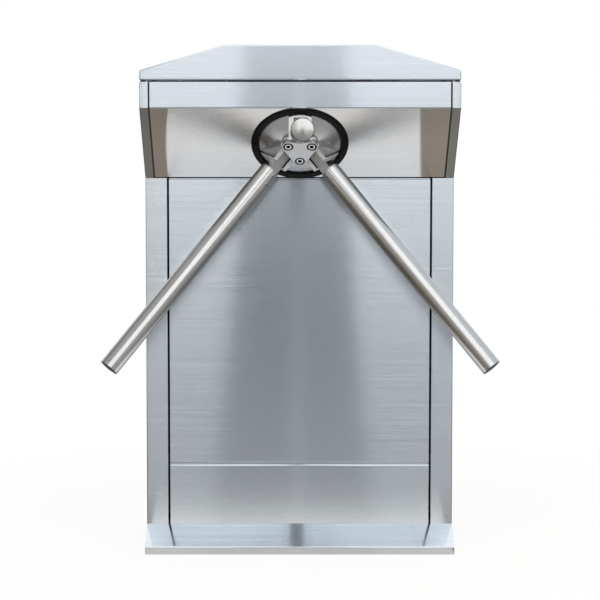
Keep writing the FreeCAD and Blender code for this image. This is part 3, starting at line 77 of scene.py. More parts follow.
studio = {
    "backdrop": 1.0,
    "fill": 0.5,
    "floorTone": (0.84, 0.79, 0.73, 1),
    "floorSize": 12.0,
    "floorDrop": 0.0004,
    "floorRough": 0.8,
    "floorSeen": (0.9, 1.0),
    "floorFade": (0.35, 1.5),
    "floorMirrored": 0.3,
    "lamps": [
        # name, spot, aim, size, power, tint
        ("keyLeft", (-2.2, -2.6, 2.7), (0, -0.1, 0.6), 1.5, 40, (1.0, 0.99, 0.97)),
        ("fillRight", (2.4, -2.2, 2.4), (0, -0.1, 0.6), 1.3, 24, (0.96, 0.98, 1.0)),
        ("topSoft", (0, -1.7, 3.2), (0, -0.2, 0.5), 1.6, 60, (0.98, 0.99, 1.0)),
        ("rearSoft", (0.6, 2.8, 2.6), (0, 0, 0.6), 1.6, 30, (1.0, 1.0, 1.0)),
    ],
    # flat cards: name, tone, height, corners on the ground plan
    "flatCards": [
        ("underLeft", (0.288, 0.242, 0.2), 0.001, patch(-0.46, -0.327, -0.6, 1.2)),
        ("underRight", (0.325, 0.28, 0.235), 0.001, patch(0.3225, 0.46, -0.6, 1.2)),
        ("sideLeft", (0.075, 0.068, 0.055), 0.001, patch(-2.6, -0.46, -0.4, 1.2)),
        ("sideRight", (0.11, 0.11, 0.107), 0.001, patch(0.46, 2.6, -0.4, 1.2)),
        ("behind", (0.3, 0.3, 0.297), 0.001, [(-0.5, 0.4), (0.5, 0.4), (2, 6), (-2, 6)]),
        ("aisleNear", (0.36, 0.355, 0.35), 0.002, [
            (-0.56, -1.9), (0.64, -1.9), (0.47, -0.34), (-0.4, -0.34)]),
        ("aisleFar", (0.22, 0.228, 0.235), 0.002, [
            (-1.1, -7.5), (1.1, -7.5), (0.6, -1.9), (-0.56, -1.9)]),
        ("aisleLeft", (0.12, 0.106, 0.083), 0.0015, patch(-2.6, -0.4, -1.6, -0.4)),
        ("aisleRight", (0.21, 0.21, 0.204), 0.0015, patch(0.4, 2.6, -1.6, -0.4)),
        ("farLeft", (0.235, 0.21, 0.18), 0.0015, patch(-8, -0.4, -7.5, -1.6)),
        ("farRight", (0.38, 0.38, 0.375), 0.0015, patch(0.4, 2.2, -7.5, -1.6)),
        ("farCorner", (0.2, 0.2, 0.197), 0.0015, patch(2.2, 8, -7.5, -1.6)),
        ("overLeft", (0.33, 0.33, 0.33), 4.2, [
            (-1, -4.4), (-1.2, -6.2), (-8, -6), (-8, 4), (-1.3, 4), (-1.3, -3.5)]),
        ("overRight", (0.54, 0.585, 0.635), 4.2, [
            (2.4, -3.4), (8, -5), (8, 4), (1.3, 4), (1.3, -2.1)]),
    ],
    # upright cards facing the case: name, tone, distance in front, corners as (x, z)
    "frontCards": [
        ("operatorLeft", (0.24, 0.25, 0.26), 3.4, patch(-0.27, 0.0015, 0, 0.46)),
        ("operatorRight", (0.28, 0.29, 0.3), 3.4, [(0.0305, 0), (0.3, 0), (0.25, 0.46), (0.0305, 0.46)]),
        ("operatorChest", (0.1, 0.1, 0.1), 3.4, [(-0.24, 0.46), (0.24, 0.46), (0.2, 1), (-0.18, 1)]),
        ("operatorTop", (0.86, 0.87, 0.88), 3.4, patch(-0.19, 0.21, 1, 1.7)),
        ("hazeLeft", (0.23, 0.22, 0.205), 9.0, patch(-9, -3.4, 0, 2.5)),
        ("hazeMiddle", (0.5, 0.485, 0.47), 9.0, patch(-3.4, -1.7, 0.6, 3.7)),
        ("lowLeft", (0.2, 0.19, 0.18), 9.0, [(-3.4, 0), (-1.2, 0), (-1.2, 0.8), (-3.4, 0.6)]),
        ("lowRight", (0.24, 0.235, 0.225), 9.0, [(1.35, 0), (4, 0), (4, 0.6), (1.35, 0.8)]),
        ("hazeRight", (0.33, 0.33, 0.325), 9.0, patch(3.6, 9, 0, 1.8)),
    ],
    # upright cards at the sides: name, tone, x, corners as (y, z)
    "sideCards": [
        ("wallLeft", (0.42, 0.415, 0.41), -3.2, patch(-3.4, 0.6, 0, 1.6)),
        ("wallRight", (0.42, 0.415, 0.41), 3.2, patch(-3.4, 0.6, 0, 1.6)),
        ("duskLeft", (0.22, 0.22, 0.22), -3.2, patch(-0.9, 2.4, 1.9, 4.1)),
        ("duskRight", (0.5, 0.54, 0.58), 3.2, patch(-0.9, 2.4, 1.9, 4.1)),
    ],
}


def addLamp(name, spot, aim, size, power, tint):
    data = bpy.data.lights.new(name, "AREA")
    data.shape = "SQUARE"
    data.size = size
    data.energy = power
    data.color = tint
    lamp = bpy.data.objects.new(name, data)
    lamp.location = spot
    lamp.rotation_euler = (Vector(aim) - Vector(spot)).to_track_quat("-Z", "Y").to_euler()
    lamp.visible_glossy = False
    scene.collection.objects.link(lamp)


def addCard(name, tone, corners):
    mesh = bpy.data.meshes.new(name)
    mesh.from_pydata(corners, [], [list(range(len(corners)))])
    card = bpy.data.objects.new(name, mesh)
    material = bpy.data.materials.new(name)
    material.use_nodes = True
    tree = material.node_tree
    glow = tree.nodes.new("ShaderNodeEmission")
    glow.inputs["Color"].default_value = (*tone, 1)
    tree.links.new(glow.outputs[0], tree.nodes["Material Output"].inputs[0])
    mesh.materials.append(material)
    scene.collection.objects.link(card)
    card.visible_camera = False
    card.visible_diffuse = False
    card.visible_shadow = False
    card.visible_transmission = False


def addMath(tree, operation, first, second):
    step = tree.nodes.new("ShaderNodeMath")
    step.operation = operation
    tree.links.new(first, step.inputs[0])
    if isinstance(second, (int, float)):
        step.inputs[1].default_value = second
    else:
        tree.links.new(second, step.inputs[1])
    return step.outputs[0]


def buildWorld():
    world = bpy.data.worlds.new("studioRoom")
    scene.world = world
    world.use_nodes = True
    tree = world.node_tree
    tree.nodes.clear()
    out = tree.nodes.new("ShaderNodeOutputWorld")
    seen = tree.nodes.new("ShaderNodeBackground")  # what the camera, metal and lenses see
    seen.inputs["Color"].default_value = (1, 1, 1, 1)
    seen.inputs["Strength"].default_value = studio["backdrop"]
    fill = tree.nodes.new("ShaderNodeBackground")
    fill.inputs["Color"].default_value = (1, 1, 1, 1)
    fill.inputs["Strength"].default_value = studio["fill"]
    mix = tree.nodes.new("ShaderNodeMixShader")
    path = tree.nodes.new("ShaderNodeLightPath")
    direct = addMath(tree, "MAXIMUM", path.outputs["Is Camera Ray"], path.outputs["Is Transmission Ray"])
    tree.links.new(addMath(tree, "MAXIMUM", direct, path.outputs["Is Glossy Ray"]), mix.inputs[0])
    tree.links.new(fill.outputs[0], mix.inputs[1])
    tree.links.new(seen.outputs[0], mix.inputs[2])
    tree.links.new(mix.outputs[0], out.inputs[0])


def buildFloor():
    side = studio["floorSize"]
    mesh = bpy.data.meshes.new("studioFloor")
    corners = [(x, y, 0) for x, y in patch(-side, side, -side, side)]
    mesh.from_pydata(corners, [], [(0, 1, 2, 3)])
    floor = bpy.data.objects.new("studioFloor", mesh)
    floor.location.z = -studio["floorDrop"]
    scene.collection.objects.link(floor)
    material = bpy.data.materials.new("paleFloor")
    material.use_nodes = True
    tree = material.node_tree
    shader = tree.nodes["Principled BSDF"]
    shader.inputs["Base Color"].default_value = studio["floorTone"]
    shader.inputs["Roughness"].default_value = studio["floorRough"]
    glow = tree.nodes.new("ShaderNodeEmission")
    glow.inputs["Color"].default_value = (1, 1, 1, 1)
    path = tree.nodes.new("ShaderNodeLightPath")
    place = tree.nodes.new("ShaderNodeTexCoord").outputs["Object"]
    away = tree.nodes.new("ShaderNodeVectorMath")
    away.operation = "LENGTH"
    tree.links.new(place, away.inputs[0])
    fade = tree.nodes.new("ShaderNodeMapRange")
    fade.interpolation_type = "SMOOTHSTEP"
    fade.inputs["From Min"].default_value, fade.inputs["From Max"].default_value = studio["floorFade"]
    fade.inputs["To Min"].default_value, fade.inputs["To Max"].default_value = studio["floorSeen"]
    tree.links.new(away.outputs["Value"], fade.inputs["Value"])
    seen = addMath(tree, "MULTIPLY", path.outputs["Is Camera Ray"], fade.outputs["Result"])
    mirrored = addMath(tree, "MULTIPLY", path.outputs["Is Glossy Ray"], studio["floorMirrored"])
    mix = tree.nodes.new("ShaderNodeMixShader")
    tree.links.new(addMath(tree, "MAXIMUM", seen, mirrored), mix.inputs[0])
    tree.links.new(shader.outputs[0], mix.inputs[1])
    tree.links.new(glow.outputs[0], mix.inputs[2])
    tree.links.new(mix.outputs[0], tree.nodes["Material Output"].inputs[0])
    mesh.materials.append(material)


buildWorld()
buildFloor()
for lampSpec in studio["lamps"]:
    addLamp(*lampSpec)
for name, tone, height, corners in studio["flatCards"]:
    addCard(name, tone, [(x, y, height) for x, y in corners])
for name, tone, away, corners in studio["frontCards"]:
    addCard(name, tone, [(x, -away, z) for x, z in corners])
for name, tone, side, corners in studio["sideCards"]:
    addCard(name, tone, [(side, y, z) for y, z in corners])
print("studio ready")


# finishes
def startMaterial(name):
    material = bpy.data.materials.new(name)
    material.use_nodes = True
    tree = material.node_tree
    return material, tree, tree.nodes["Principled BSDF"]


def addNoise(tree, coord, scale, detail=3.0, mapScale=(1, 1, 1)):
    mapping = tree.nodes.new("ShaderNodeMapping")
    mapping.inputs["Scale"].default_value = mapScale
    noise = tree.nodes.new("ShaderNodeTexNoise")
    noise.inputs["Scale"].default_value = scale
    noise.inputs["Detail"].default_value = detail
    tree.links.new(coord, mapping.inputs["Vector"])
    tree.links.new(mapping.outputs[0], noise.inputs["Vector"])
    return noise.outputs["Fac"]


def addRamp(tree, fac, stops):
    ramp = tree.nodes.new("ShaderNodeValToRGB")
    while len(ramp.color_ramp.elements) < len(stops):
        ramp.color_ramp.elements.new(0.5)
    for element, (place, tone) in zip(ramp.color_ramp.elements, stops):
        element.position = place
        element.color = (*tone, 1)
    tree.links.new(fac, ramp.inputs[0])
    return ramp.outputs[0]


def addRange(tree, fac, low, high):
    span = tree.nodes.new("ShaderNodeMapRange")
    span.inputs["To Min"].default_value = low
    span.inputs["To Max"].default_value = high
    tree.links.new(fac, span.inputs["Value"])
    return span.outputs["Result"]


def addVector(tree, operation, first, second=None):
    step = tree.nodes.new("ShaderNodeVectorMath")
    step.operation = operation
    tree.links.new(first, step.inputs[0])
    if second is not None:
        tree.links.new(second, step.inputs["Scale" if operation == "SCALE" else 1])
    return step.outputs[0]


# the brushed sheet's grain, and the slanted face's span on its grain map
brush = {
    "hairs": (2.2, 760, 1),
    "detail": 4.0,
    "stops": (0.3, 0.7),
    "hairTip": 0.03,
}
slantSheet = {
    "middle": 0.7027,
    "reach": 0.0997,
    "dish": 0.0176,
    "bow": 0.0375,
}


def brushedSteel(name, dark, light, rough, spread, smear, drawn=False):
    material, tree, shader = startMaterial(name)
    uv = tree.nodes.new("ShaderNodeUVMap")
    uv.uv_map = "grain"
    hair = addNoise(tree, uv.outputs[0], 1.0, brush["detail"], brush["hairs"])
    tone = addRamp(tree, hair, list(zip(brush["stops"], (dark, light))))
    tree.links.new(tone, shader.inputs["Base Color"])
    tree.links.new(addRange(tree, hair, rough - spread, rough + spread), shader.inputs["Roughness"])
    # fine scratches tip the normal across the grain, so reflections smear that way only
    tangent = tree.nodes.new("ShaderNodeTangent")
    tangent.direction_type = "UV_MAP"
    tangent.uv_map = "grain"
    normal = tree.nodes.new("ShaderNodeNewGeometry").outputs["Normal"]
    across = addVector(tree, "CROSS_PRODUCT", normal, tangent.outputs[0])
    speck = tree.nodes.new("ShaderNodeTexWhiteNoise")
    speck.noise_dimensions = "2D"
    tree.links.new(uv.outputs[0], speck.inputs["Vector"])
    parts = tree.nodes.new("ShaderNodeSeparateColor")
    tree.links.new(speck.outputs["Color"], parts.inputs[0])
    pair = addMath(tree, "ADD", parts.outputs[0], parts.outputs[1])
    sumMean = 1.5  # of three even draws
    fine = addMath(tree, "SUBTRACT", addMath(tree, "ADD", pair, parts.outputs[2]), sumMean)
    coarse = addRange(tree, hair, -brush["hairTip"], brush["hairTip"])
    tip = addMath(tree, "ADD", addMath(tree, "MULTIPLY", fine, smear), coarse)
    tipped = addVector(tree, "ADD", normal, addVector(tree, "SCALE", across, tip))
    if drawn:
        # the slanted sheet is drawn in a little at mid height on its left half and bows out to the right
        place = tree.nodes.new("ShaderNodeSeparateXYZ")
        tree.links.new(uv.outputs[0], place.inputs[0])
        level = addMath(tree, "SUBTRACT", place.outputs["Y"], slantSheet["middle"])
        share = addMath(tree, "POWER", addMath(tree, "DIVIDE", level, slantSheet["reach"]), 2)
        sag = addMath(tree, "MULTIPLY", share, -slantSheet["dish"])
        hollow = addMath(tree, "ADD", sag, slantSheet["dish"])
        leftward = addMath(tree, "MINIMUM", place.outputs["X"], 0)
        rightward = addMath(tree, "MAXIMUM", place.outputs["X"], 0)
        inward = addMath(tree, "MULTIPLY", hollow, leftward)
        outward = addMath(tree, "MULTIPLY", rightward, slantSheet["bow"])
        pull = addMath(tree, "SUBTRACT", inward, outward)
        tipped = addVector(tree, "SUBTRACT", tipped, addVector(tree, "SCALE", tangent.outputs[0], pull))
    tree.links.new(addVector(tree, "NORMALIZE", tipped), shader.inputs["Normal"])
    shader.inputs["Metallic"].default_value = 1
    return material


mottling = {
    "detail": 4.0,
    "stops": (0.3, 0.7),
    # painted shade: the near-black colour laid into recesses
    "paintedShade": (0.006, 0.006, 0.006, 1),
}


def plainMetal(name, dark, light, rough, spread, scale=60, metallic=1.0, specular=0.5, paintedRimShade=1.0):
    material, tree, shader = startMaterial(name)
    coord = tree.nodes.new("ShaderNodeTexCoord").outputs["Object"]
    mottle = addNoise(tree, coord, scale, mottling["detail"])
    tone = addRamp(tree, mottle, list(zip(mottling["stops"], (dark, light))))
    paintedShade = tree.nodes.new("ShaderNodeAttribute")  # painted shade: recesses and deep corners go near black
    paintedShade.attribute_name = "paintedShade"
    mix = tree.nodes.new("ShaderNodeMix")
    mix.data_type = "RGBA"
    mix.inputs["B"].default_value = mottling["paintedShade"]
    tree.links.new(paintedShade.outputs["Fac"], mix.inputs["Factor"])
    tree.links.new(tone, mix.inputs["A"])
    tree.links.new(mix.outputs["Result"], shader.inputs["Base Color"])
    tree.links.new(addRange(tree, mottle, rough - spread, rough + spread), shader.inputs["Roughness"])
    shader.inputs["Metallic"].default_value = metallic
    shader.inputs["Specular IOR Level"].default_value = specular
    shader.inputs["Specular Tint"].default_value = (paintedRimShade, paintedRimShade, paintedRimShade, 1)  # the tint at a glancing view; below 1 it darkens the edges as painted shade
    return material


lampRows = {
    "glass": (0.03, 0.032, 0.035),
    "lamp": (0.13, 0.13, 0.125),
    "pitch": 0.0102,
    "dot": 0.26,
    "soft": 0.04,
    "hazeScale": 40,
    "rough": (0.06, 0.16),
}


def lensGlass(name):
    material, tree, shader = startMaterial(name)
    parts = tree.nodes.new("ShaderNodeSeparateXYZ")
    tree.links.new(tree.nodes.new("ShaderNodeTexCoord").outputs["Object"], parts.inputs[0])
    flat = tree.nodes.new("ShaderNodeCombineXYZ")
    tree.links.new(parts.outputs["X"], flat.inputs["X"])
    tree.links.new(parts.outputs["Y"], flat.inputs["Y"])
    grid = tree.nodes.new("ShaderNodeTexVoronoi")  # rows of small lamps under the smoked sheet
    grid.voronoi_dimensions = "2D"
    grid.inputs["Scale"].default_value = 1 / lampRows["pitch"]
    grid.inputs["Randomness"].default_value = 0
    tree.links.new(flat.outputs[0], grid.inputs["Vector"])
    dot, soft = lampRows["dot"], lampRows["soft"]
    stops = [(dot - soft, lampRows["lamp"]), (dot + soft, lampRows["glass"])]
    tone = addRamp(tree, grid.outputs["Distance"], stops)
    tree.links.new(tone, shader.inputs["Base Color"])
    haze = addNoise(tree, flat.outputs[0], lampRows["hazeScale"])
    tree.links.new(addRange(tree, haze, *lampRows["rough"]), shader.inputs["Roughness"])
    return material


caseDark, caseLight = (0.785, 0.85, 0.915), (0.84, 0.905, 0.965)
# the slanted faces: the finer polish is real; the darker, neutral copy of the case tone is painted shade
slantShadedDark, slantShadedLight = (0.725, 0.725, 0.73), (0.78, 0.78, 0.785)
finishes = {
    # slot or place: label, darker and lighter tone, roughness, its spread, then scale or smear and the rest
    "case_steel": brushedSteel("brushedCase", caseDark, caseLight, 0.075, 0.015, 0.16),
    "case_slant": brushedSteel("brushedSlantPaintedShade", slantShadedDark, slantShadedLight, 0.035, 0.01, 0.1, drawn=True),
    "hub_steel": plainMetal("polishedHub", (0.66, 0.67, 0.685), (0.72, 0.73, 0.745), 0.24, 0.03, 30),
    "plate_steel": plainMetal("satinPlate", (0.63, 0.64, 0.655), (0.69, 0.70, 0.715), 0.34, 0.04, 240),
    # fork lugs: the satin roughness is real; the tone lighter than the hub steel is painted light
    "lug_satin_painted_light": plainMetal("satinLugPaintedLight", (0.78, 0.79, 0.80), (0.84, 0.85, 0.86), 0.42, 0.04, 240, 0.5),
    # near black on the faces inside the fork slots: painted shade
    "slot_painted_shade": plainMetal("slotPaintedShade", (0.02, 0.02, 0.02), (0.03, 0.03, 0.03), 0.5, 0.05, 90),
    # arm root tongues: the rougher machined face is real; the tone darker than the tube steel is painted
    # shade
    "tongue_satin_painted_shade": plainMetal(
        "tongueSatinPaintedShade", (0.50, 0.505, 0.51), (0.56, 0.565, 0.57), 0.45, 0.05, 120, 0.7),
    # the plinth's front lip: a darker copy of the case steel, painted shade
    "case_lip": brushedSteel("brushedLipPaintedShade", (0.55, 0.57, 0.59), (0.6, 0.62, 0.64), 0.075, 0.015, 0.16),
    # the cheeks' slanted faces: a darker, bluer copy of the case steel, painted shade
    "cheek_slant": brushedSteel(
        "brushedCheekPaintedShade", (0.49, 0.55, 0.575), (0.53, 0.595, 0.62), 0.035, 0.01, 0.1),
    # the tubes' rim tint below 1 darkens their glancing edges: painted shade for the dark outlines
    "arm_steel": plainMetal(
        "polishedTube", (0.88, 0.875, 0.87), (0.92, 0.915, 0.91), 0.19, 0.025, 80, paintedRimShade=0.4),
    "arm_cap": plainMetal("capSteel", (0.86, 0.85, 0.83), (0.91, 0.9, 0.88), 0.2, 0.03, 80),
    # the caps' rounded rims: a near-black copy of the cap steel, painted shade
    "cap_rim": plainMetal("capRimPaintedShade", (0.12, 0.115, 0.105), (0.16, 0.15, 0.14), 0.35, 0.04, 80),
    "screw_steel": plainMetal("screwSteel", (0.62, 0.62, 0.63), (0.72, 0.72, 0.73), 0.22, 0.04, 200),
    "collar_black": plainMetal(
        "collarBlack", (0.003, 0.003, 0.0035), (0.006, 0.006, 0.007), 0.22, 0.04, 120, 0, 0.11),
    "frame_paint": plainMetal(
        "framePaint", (0.045, 0.045, 0.048), (0.065, 0.065, 0.069), 0.5, 0.08, 90, 0, 0.2),
    "mechanism_steel": plainMetal("zincPlate", (0.48, 0.49, 0.51), (0.60, 0.61, 0.62), 0.38, 0.08, 70),
    "bearing_steel": plainMetal("bearingSteel", (0.58, 0.58, 0.6), (0.66, 0.66, 0.68), 0.2, 0.04, 90),
    "housing_metal": plainMetal("housingMetal", (0.55, 0.56, 0.57), (0.66, 0.67, 0.68), 0.4, 0.08, 60),
    "spring_steel": plainMetal("springWire", (0.40, 0.40, 0.42), (0.52, 0.52, 0.54), 0.3, 0.05, 150),
    "coil_black": plainMetal("coilBlack", (0.03, 0.03, 0.033), (0.05, 0.05, 0.055), 0.45, 0.08, 90, 0),
    "hardware": plainMetal("hingeSteel", (0.56, 0.56, 0.57), (0.66, 0.66, 0.67), 0.3, 0.05, 120),
    "rubber": plainMetal("blackRubber", (0.018, 0.018, 0.018), (0.03, 0.03, 0.03), 0.7, 0.08, 200, 0),
    "lens": lensGlass("smokedLens"),
    "supply_case": plainMetal("supplyCase", (0.55, 0.56, 0.57), (0.64, 0.65, 0.66), 0.4, 0.08, 60),
    "board": plainMetal("boardGreen", (0.02, 0.14, 0.06), (0.03, 0.2, 0.09), 0.45, 0.06, 40, 0),
}
for node, item in nodes.items():
    item.data.materials.clear()
    item.data.materials.append(finishes[slotOf[node]])
print("finishes ready")


# making and finishing pieces
making = {
    "weld": 5e-6,
    "flat": 0.3,
    "leastFold": 32,
    "sideFacing": 0.75,
    "grainTilt": 0.7,
    "onSphere": 8e-5,
}


def faceWidth(face):
    return face.calc_area() / max(edge.calc_length() for edge in face.edges)


def gatherNode(node):
    work = bmesh.new()
    work.from_mesh(nodes[node].data)
    bmesh.ops.remove_doubles(work, verts=work.verts, dist=making["weld"])
    flat = math.radians(making["flat"])
    bmesh.ops.dissolve_limit(work, angle_limit=flat, verts=work.verts, edges=work.edges)
    return work


def sortFaces(work):
    # a bevel can leave the same faces in another order from run to run
    work.verts.index_update()
    ordered = sorted(work.faces, key=lambda face: sorted(vert.index for vert in face.verts))
    rank = {face: place for place, face in enumerate(ordered)}
    work.faces.sort(key=rank.get)
    work.faces.index_update()


def roundEdges(work, radius, steps, leastWidth, wanted=None):
    chosen = []
    for edge in work.edges:
        if len(edge.link_faces) != 2 or not edge.is_convex:
            continue
        if edge.calc_face_angle() < math.radians(making["leastFold"]):
            continue
        if min(faceWidth(face) for face in edge.link_faces) < leastWidth:
            continue
        if wanted is None or wanted(edge):
            chosen.append(edge)
    bmesh.ops.bevel(work, geom=chosen, offset=radius, offset_type="OFFSET", segments=steps, profile=0.5,
                    affect="EDGES", clamp_overlap=True)
    sortFaces(work)


def mapGrain(work):
    grain = work.loops.layers.uv.new("grain")
    for face in work.faces:
        normal = face.normal
        for loop in face.loops:
            spot = loop.vert.co
            if abs(normal.x) > making["sideFacing"]:
                loop[grain].uv = (spot.y, spot.z)
            else:
                loop[grain].uv = (spot.x, spot.z * making["grainTilt"] - spot.y * making["grainTilt"])


def settleNormals(mesh, spheres):
    normals = [Vector(corner.vector) for corner in mesh.corner_normals]
    for face in mesh.polygons:
        spots = [mesh.vertices[index].co for index in face.vertices]
        for centre, radius in spheres:
            if all(abs((spot - centre).length - radius) < making["onSphere"] for spot in spots):
                for corner, spot in zip(face.loop_indices, spots):
                    normals[corner] = (spot - centre).normalized()
    mesh.normals_split_custom_set(normals)


def finishPiece(name, work, material, replaced, spheres=(), sharp=40, body=None):
    mesh = bpy.data.meshes.new(name)
    work.to_mesh(mesh)
    work.free()
    for each in material if isinstance(material, list) else [material]:
        mesh.materials.append(each)
    mesh.polygons.foreach_set("use_smooth", [True] * len(mesh.polygons))
    mesh.set_sharp_from_angle(angle=math.radians(sharp))
    piece = bpy.data.objects.new(name, mesh)
    scene.collection.objects.link(piece)
    even = piece.modifiers.new("even", "WEIGHTED_NORMAL")
    even.keep_sharp = True
    graph = bpy.context.evaluated_depsgraph_get()
    settled = bpy.data.meshes.new_from_object(piece.evaluated_get(graph), depsgraph=graph)
    piece.modifiers.clear()
    piece.data = settled
    settled.name = name
    if spheres:
        settleNormals(settled, spheres)
    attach(piece, body or bodyOf[replaced[0]])
    if replaced:
        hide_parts(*replaced)
    return piece


# sheet pieces: each is its solid's form with rounded bends and a grain map
bends = {
    # node: radius of the folds that run along the case, radius of the other edges
    "lid": (0.0035, 0.0035),
    "head_cheek_left": (0.002, 0.002),  # cheeks and end panels on their outer edges alone
    "head_cheek_right": (0.002, 0.002),
    "head_front_cover": (0.0018, 0.0008),  # its lower edge stays nearly sharp
    "head_rear_cover": (0.0005, 0.0005),
    "end_panel_left": (0.0022, 0.0022),
    "end_panel_right": (0.0022, 0.0022),
    "front_panel": (0.0022, 0.001),
    "lower_panel": (0.0036, 0.001),
    "rear_panel": (0.0022, 0.001),
    "plinth_front": (0.0022, 0.0015),
    "plinth_rear": (0.0022, 0.0015),
}
sheets = {
    "leastWidth": 0.006,
    "foldSteps": 4,
    "sideSteps": 3,
    "outerSide": 0.3215,  # the case's outer edges lie past this
    "seamEdge": 0.3047,  # the cheeks' strips behind the seams lie inside this
    "coverFoot": 0.79,
    "alongShare": 0.9,
    "lipFacing": -0.98,
    "slantDown": -0.5,
    "slantFront": -0.3,
}


def alongCase(edge):
    run = edge.verts[0].co - edge.verts[1].co
    return abs(run.x) > sheets["alongShare"] * run.length


def outerEdge(edge):
    return min(abs(vert.co.x) for vert in edge.verts) > sheets["outerSide"]


def coverFoot(node, edge):
    return node == "head_front_cover" and max(vert.co.z for vert in edge.verts) < sheets["coverFoot"]


def roundSheet(node, work, foldRadius, sideRadius):
    least = sheets["leastWidth"]
    if "cheek" in node or "end_panel" in node:
        roundEdges(work, foldRadius, sheets["foldSteps"], least, outerEdge)
    elif foldRadius == sideRadius:
        roundEdges(work, foldRadius, sheets["foldSteps"], least)
    else:
        roundEdges(work, foldRadius, sheets["foldSteps"], least,
                   lambda edge: alongCase(edge) and not coverFoot(node, edge))
        roundEdges(work, sideRadius, sheets["sideSteps"], least,
                   lambda edge: not alongCase(edge) or coverFoot(node, edge))


def sheetFinish(node, face):
    # places in the list of finishes below
    # the cheeks' steel strips behind the seams take the dark frame paint: painted shade in the seam gaps
    if "cheek" in node and max(abs(vert.co.x) for vert in face.verts) < sheets["seamEdge"]:
        return 2
    # the plinth's front lip takes the darker copy of the case steel: painted shade
    if node == "plinth_front" and face.normal.y < sheets["lipFacing"]:
        return 3
    # downward front faces take the slant's darker tone: painted shade
    return int(face.normal.z < sheets["slantDown"] and face.normal.y < sheets["slantFront"])


for node, radii in bends.items():
    work = gatherNode(node)
    roundSheet(node, work, *radii)
    mapGrain(work)
    for face in work.faces:
        face.material_index = sheetFinish(node, face)
    slantName = "cheek_slant" if "cheek" in node else "case_slant"
    used = [finishes[name] for name in ("case_steel", slantName, "frame_paint", "case_lip")]
    finishPiece("sheet_" + node, work, used, [node])
print("sheets rounded")


# foam seals between body and head, and strips along the front panels' joints
fillers = {
    # name: low corner, high corner, edge radius, slot
    "sealFront": ((-0.285, -0.062, 0.777), (0.285, -0.05, 0.788), 0.0015, "rubber"),
    "sealRear": ((-0.285, 0.05, 0.777), (0.285, 0.062, 0.788), 0.0015, "rubber"),
    "headStrip": ((-0.2722, -0.079, 0.7788), (0.2722, -0.068, 0.7814), 0.0004, "case_steel"),
    "jointStrip": ((-0.2722, -0.0768, 0.1788), (0.2722, -0.068, 0.1809), 0.0002, "case_steel"),
}


def addFiller(name, low, high, edge, slot):
    work = bmesh.new()
    bmesh.ops.create_cube(work, size=1)
    for vert in work.verts:
        vert.co = [top if side > 0 else foot for side, foot, top in zip(vert.co, low, high)]
    roundEdges(work, edge, steps=3, leastWidth=0)
    mapGrain(work)
    finishPiece(name, work, finishes[slot], [], body="cabinet")


for name, spec in fillers.items():
    addFiller(name, *spec)

# rotor head, in the slanted face's own frame
rotor = {
    "centre": Vector((0, -0.151, 0.853)),
    "axis": Vector((0, -1, -1)).normalized(),
    "upward": Vector((0, -1, 1)).normalized(),
    "domeRadius": 0.320,
    "rim": 0.0825,
    "lift": 0.0005,
    "apexDepth": 0.030,
    "plateFront": 0.024,
    "screwRing": 0.0274,
    "recess": 0.010,
    "edge": 0.0007,
    "pin": 0.068,
    "slotHalf": 0.013,
    "slotRound": 0.020,
    "slotSlack": 2e-4,
    "sameFacing": 0.97,
    "recessFrom": 0.0009,
    "recessSlack": 1e-4,
}
domeCentre = rotor["centre"] + rotor["axis"] * (
    rotor["lift"] - math.sqrt(rotor["domeRadius"] ** 2 - rotor["rim"] ** 2))
apex = rotor["centre"] - rotor["axis"] * rotor["apexDepth"]
acrossAxis = Vector((1, 0, 0))


def onSlant(x, y, z):
    return rotor["centre"] + acrossAxis * x + rotor["upward"] * y + rotor["axis"] * z


def armAxis(index):
    start = (rotor["upward"] + rotor["axis"]).normalized()
    return Matrix.Rotation(math.radians(120 * index), 3, rotor["axis"]) @ start


def armInward(index):
    along = armAxis(index)
    return (rotor["axis"] - along * rotor["axis"].dot(along)).normalized()


def forkPart(face):
    middle = face.calc_center_median()
    same, slack = rotor["sameFacing"], rotor["slotSlack"]
    for k in range(3):
        along, inward = armAxis(k), armInward(k)
        cross = along.cross(inward)
        offset = middle - (apex + along * rotor["pin"])
        if face.normal.dot(inward) > same or face.normal.dot(along) > same:
            return 1
        fromPin = (offset - cross * offset.dot(cross)).length
        inSlot = abs(offset.dot(cross)) < rotor["slotHalf"] + slack
        if inSlot and (fromPin < rotor["slotRound"] + slack or abs(face.normal.dot(cross)) > same):
            return 2
    return 0


work = gatherNode("rotor_hub")
roundEdges(work, rotor["edge"], steps=2, leastWidth=0)
# lug faces take a lighter copy of the hub steel, painted light; faces inside the slots go near black,
# painted shade
for face in work.faces:
    face.material_index = forkPart(face)
used = [finishes[name] for name in ("hub_steel", "lug_satin_painted_light", "slot_painted_shade")]
finishPiece("hubDome", work, used, ["rotor_hub"], [(domeCentre, rotor["domeRadius"])])
earSpots = []
for k in range(3):
    turn = math.radians(30 + 120 * k)
    ring = rotor["screwRing"]
    earSpots.append(onSlant(ring * math.cos(turn), ring * math.sin(turn), rotor["plateFront"]))
work = gatherNode("cover_plate")
roundEdges(work, rotor["edge"], steps=2, leastWidth=0)
# faces inside the screw recesses get painted shade
paintedShade = work.faces.layers.float.new("paintedShade")
for face in work.faces:
    middle = face.calc_center_median()
    for spot in earSpots:
        offset = middle - spot
        depth = offset.dot(rotor["axis"])
        away = (offset - rotor["axis"] * depth).length
        if depth < -rotor["recessFrom"] and away < rotor["recess"] + rotor["recessSlack"]:
            face[paintedShade] = 1
finishPiece("coverPlate", work, finishes["plate_steel"], ["cover_plate"])
work = gatherNode("hub_collar")
roundEdges(work, rotor["edge"], steps=2, leastWidth=0)
finishPiece("hubCollar", work, finishes["collar_black"], ["hub_collar"])
print("hub finished")


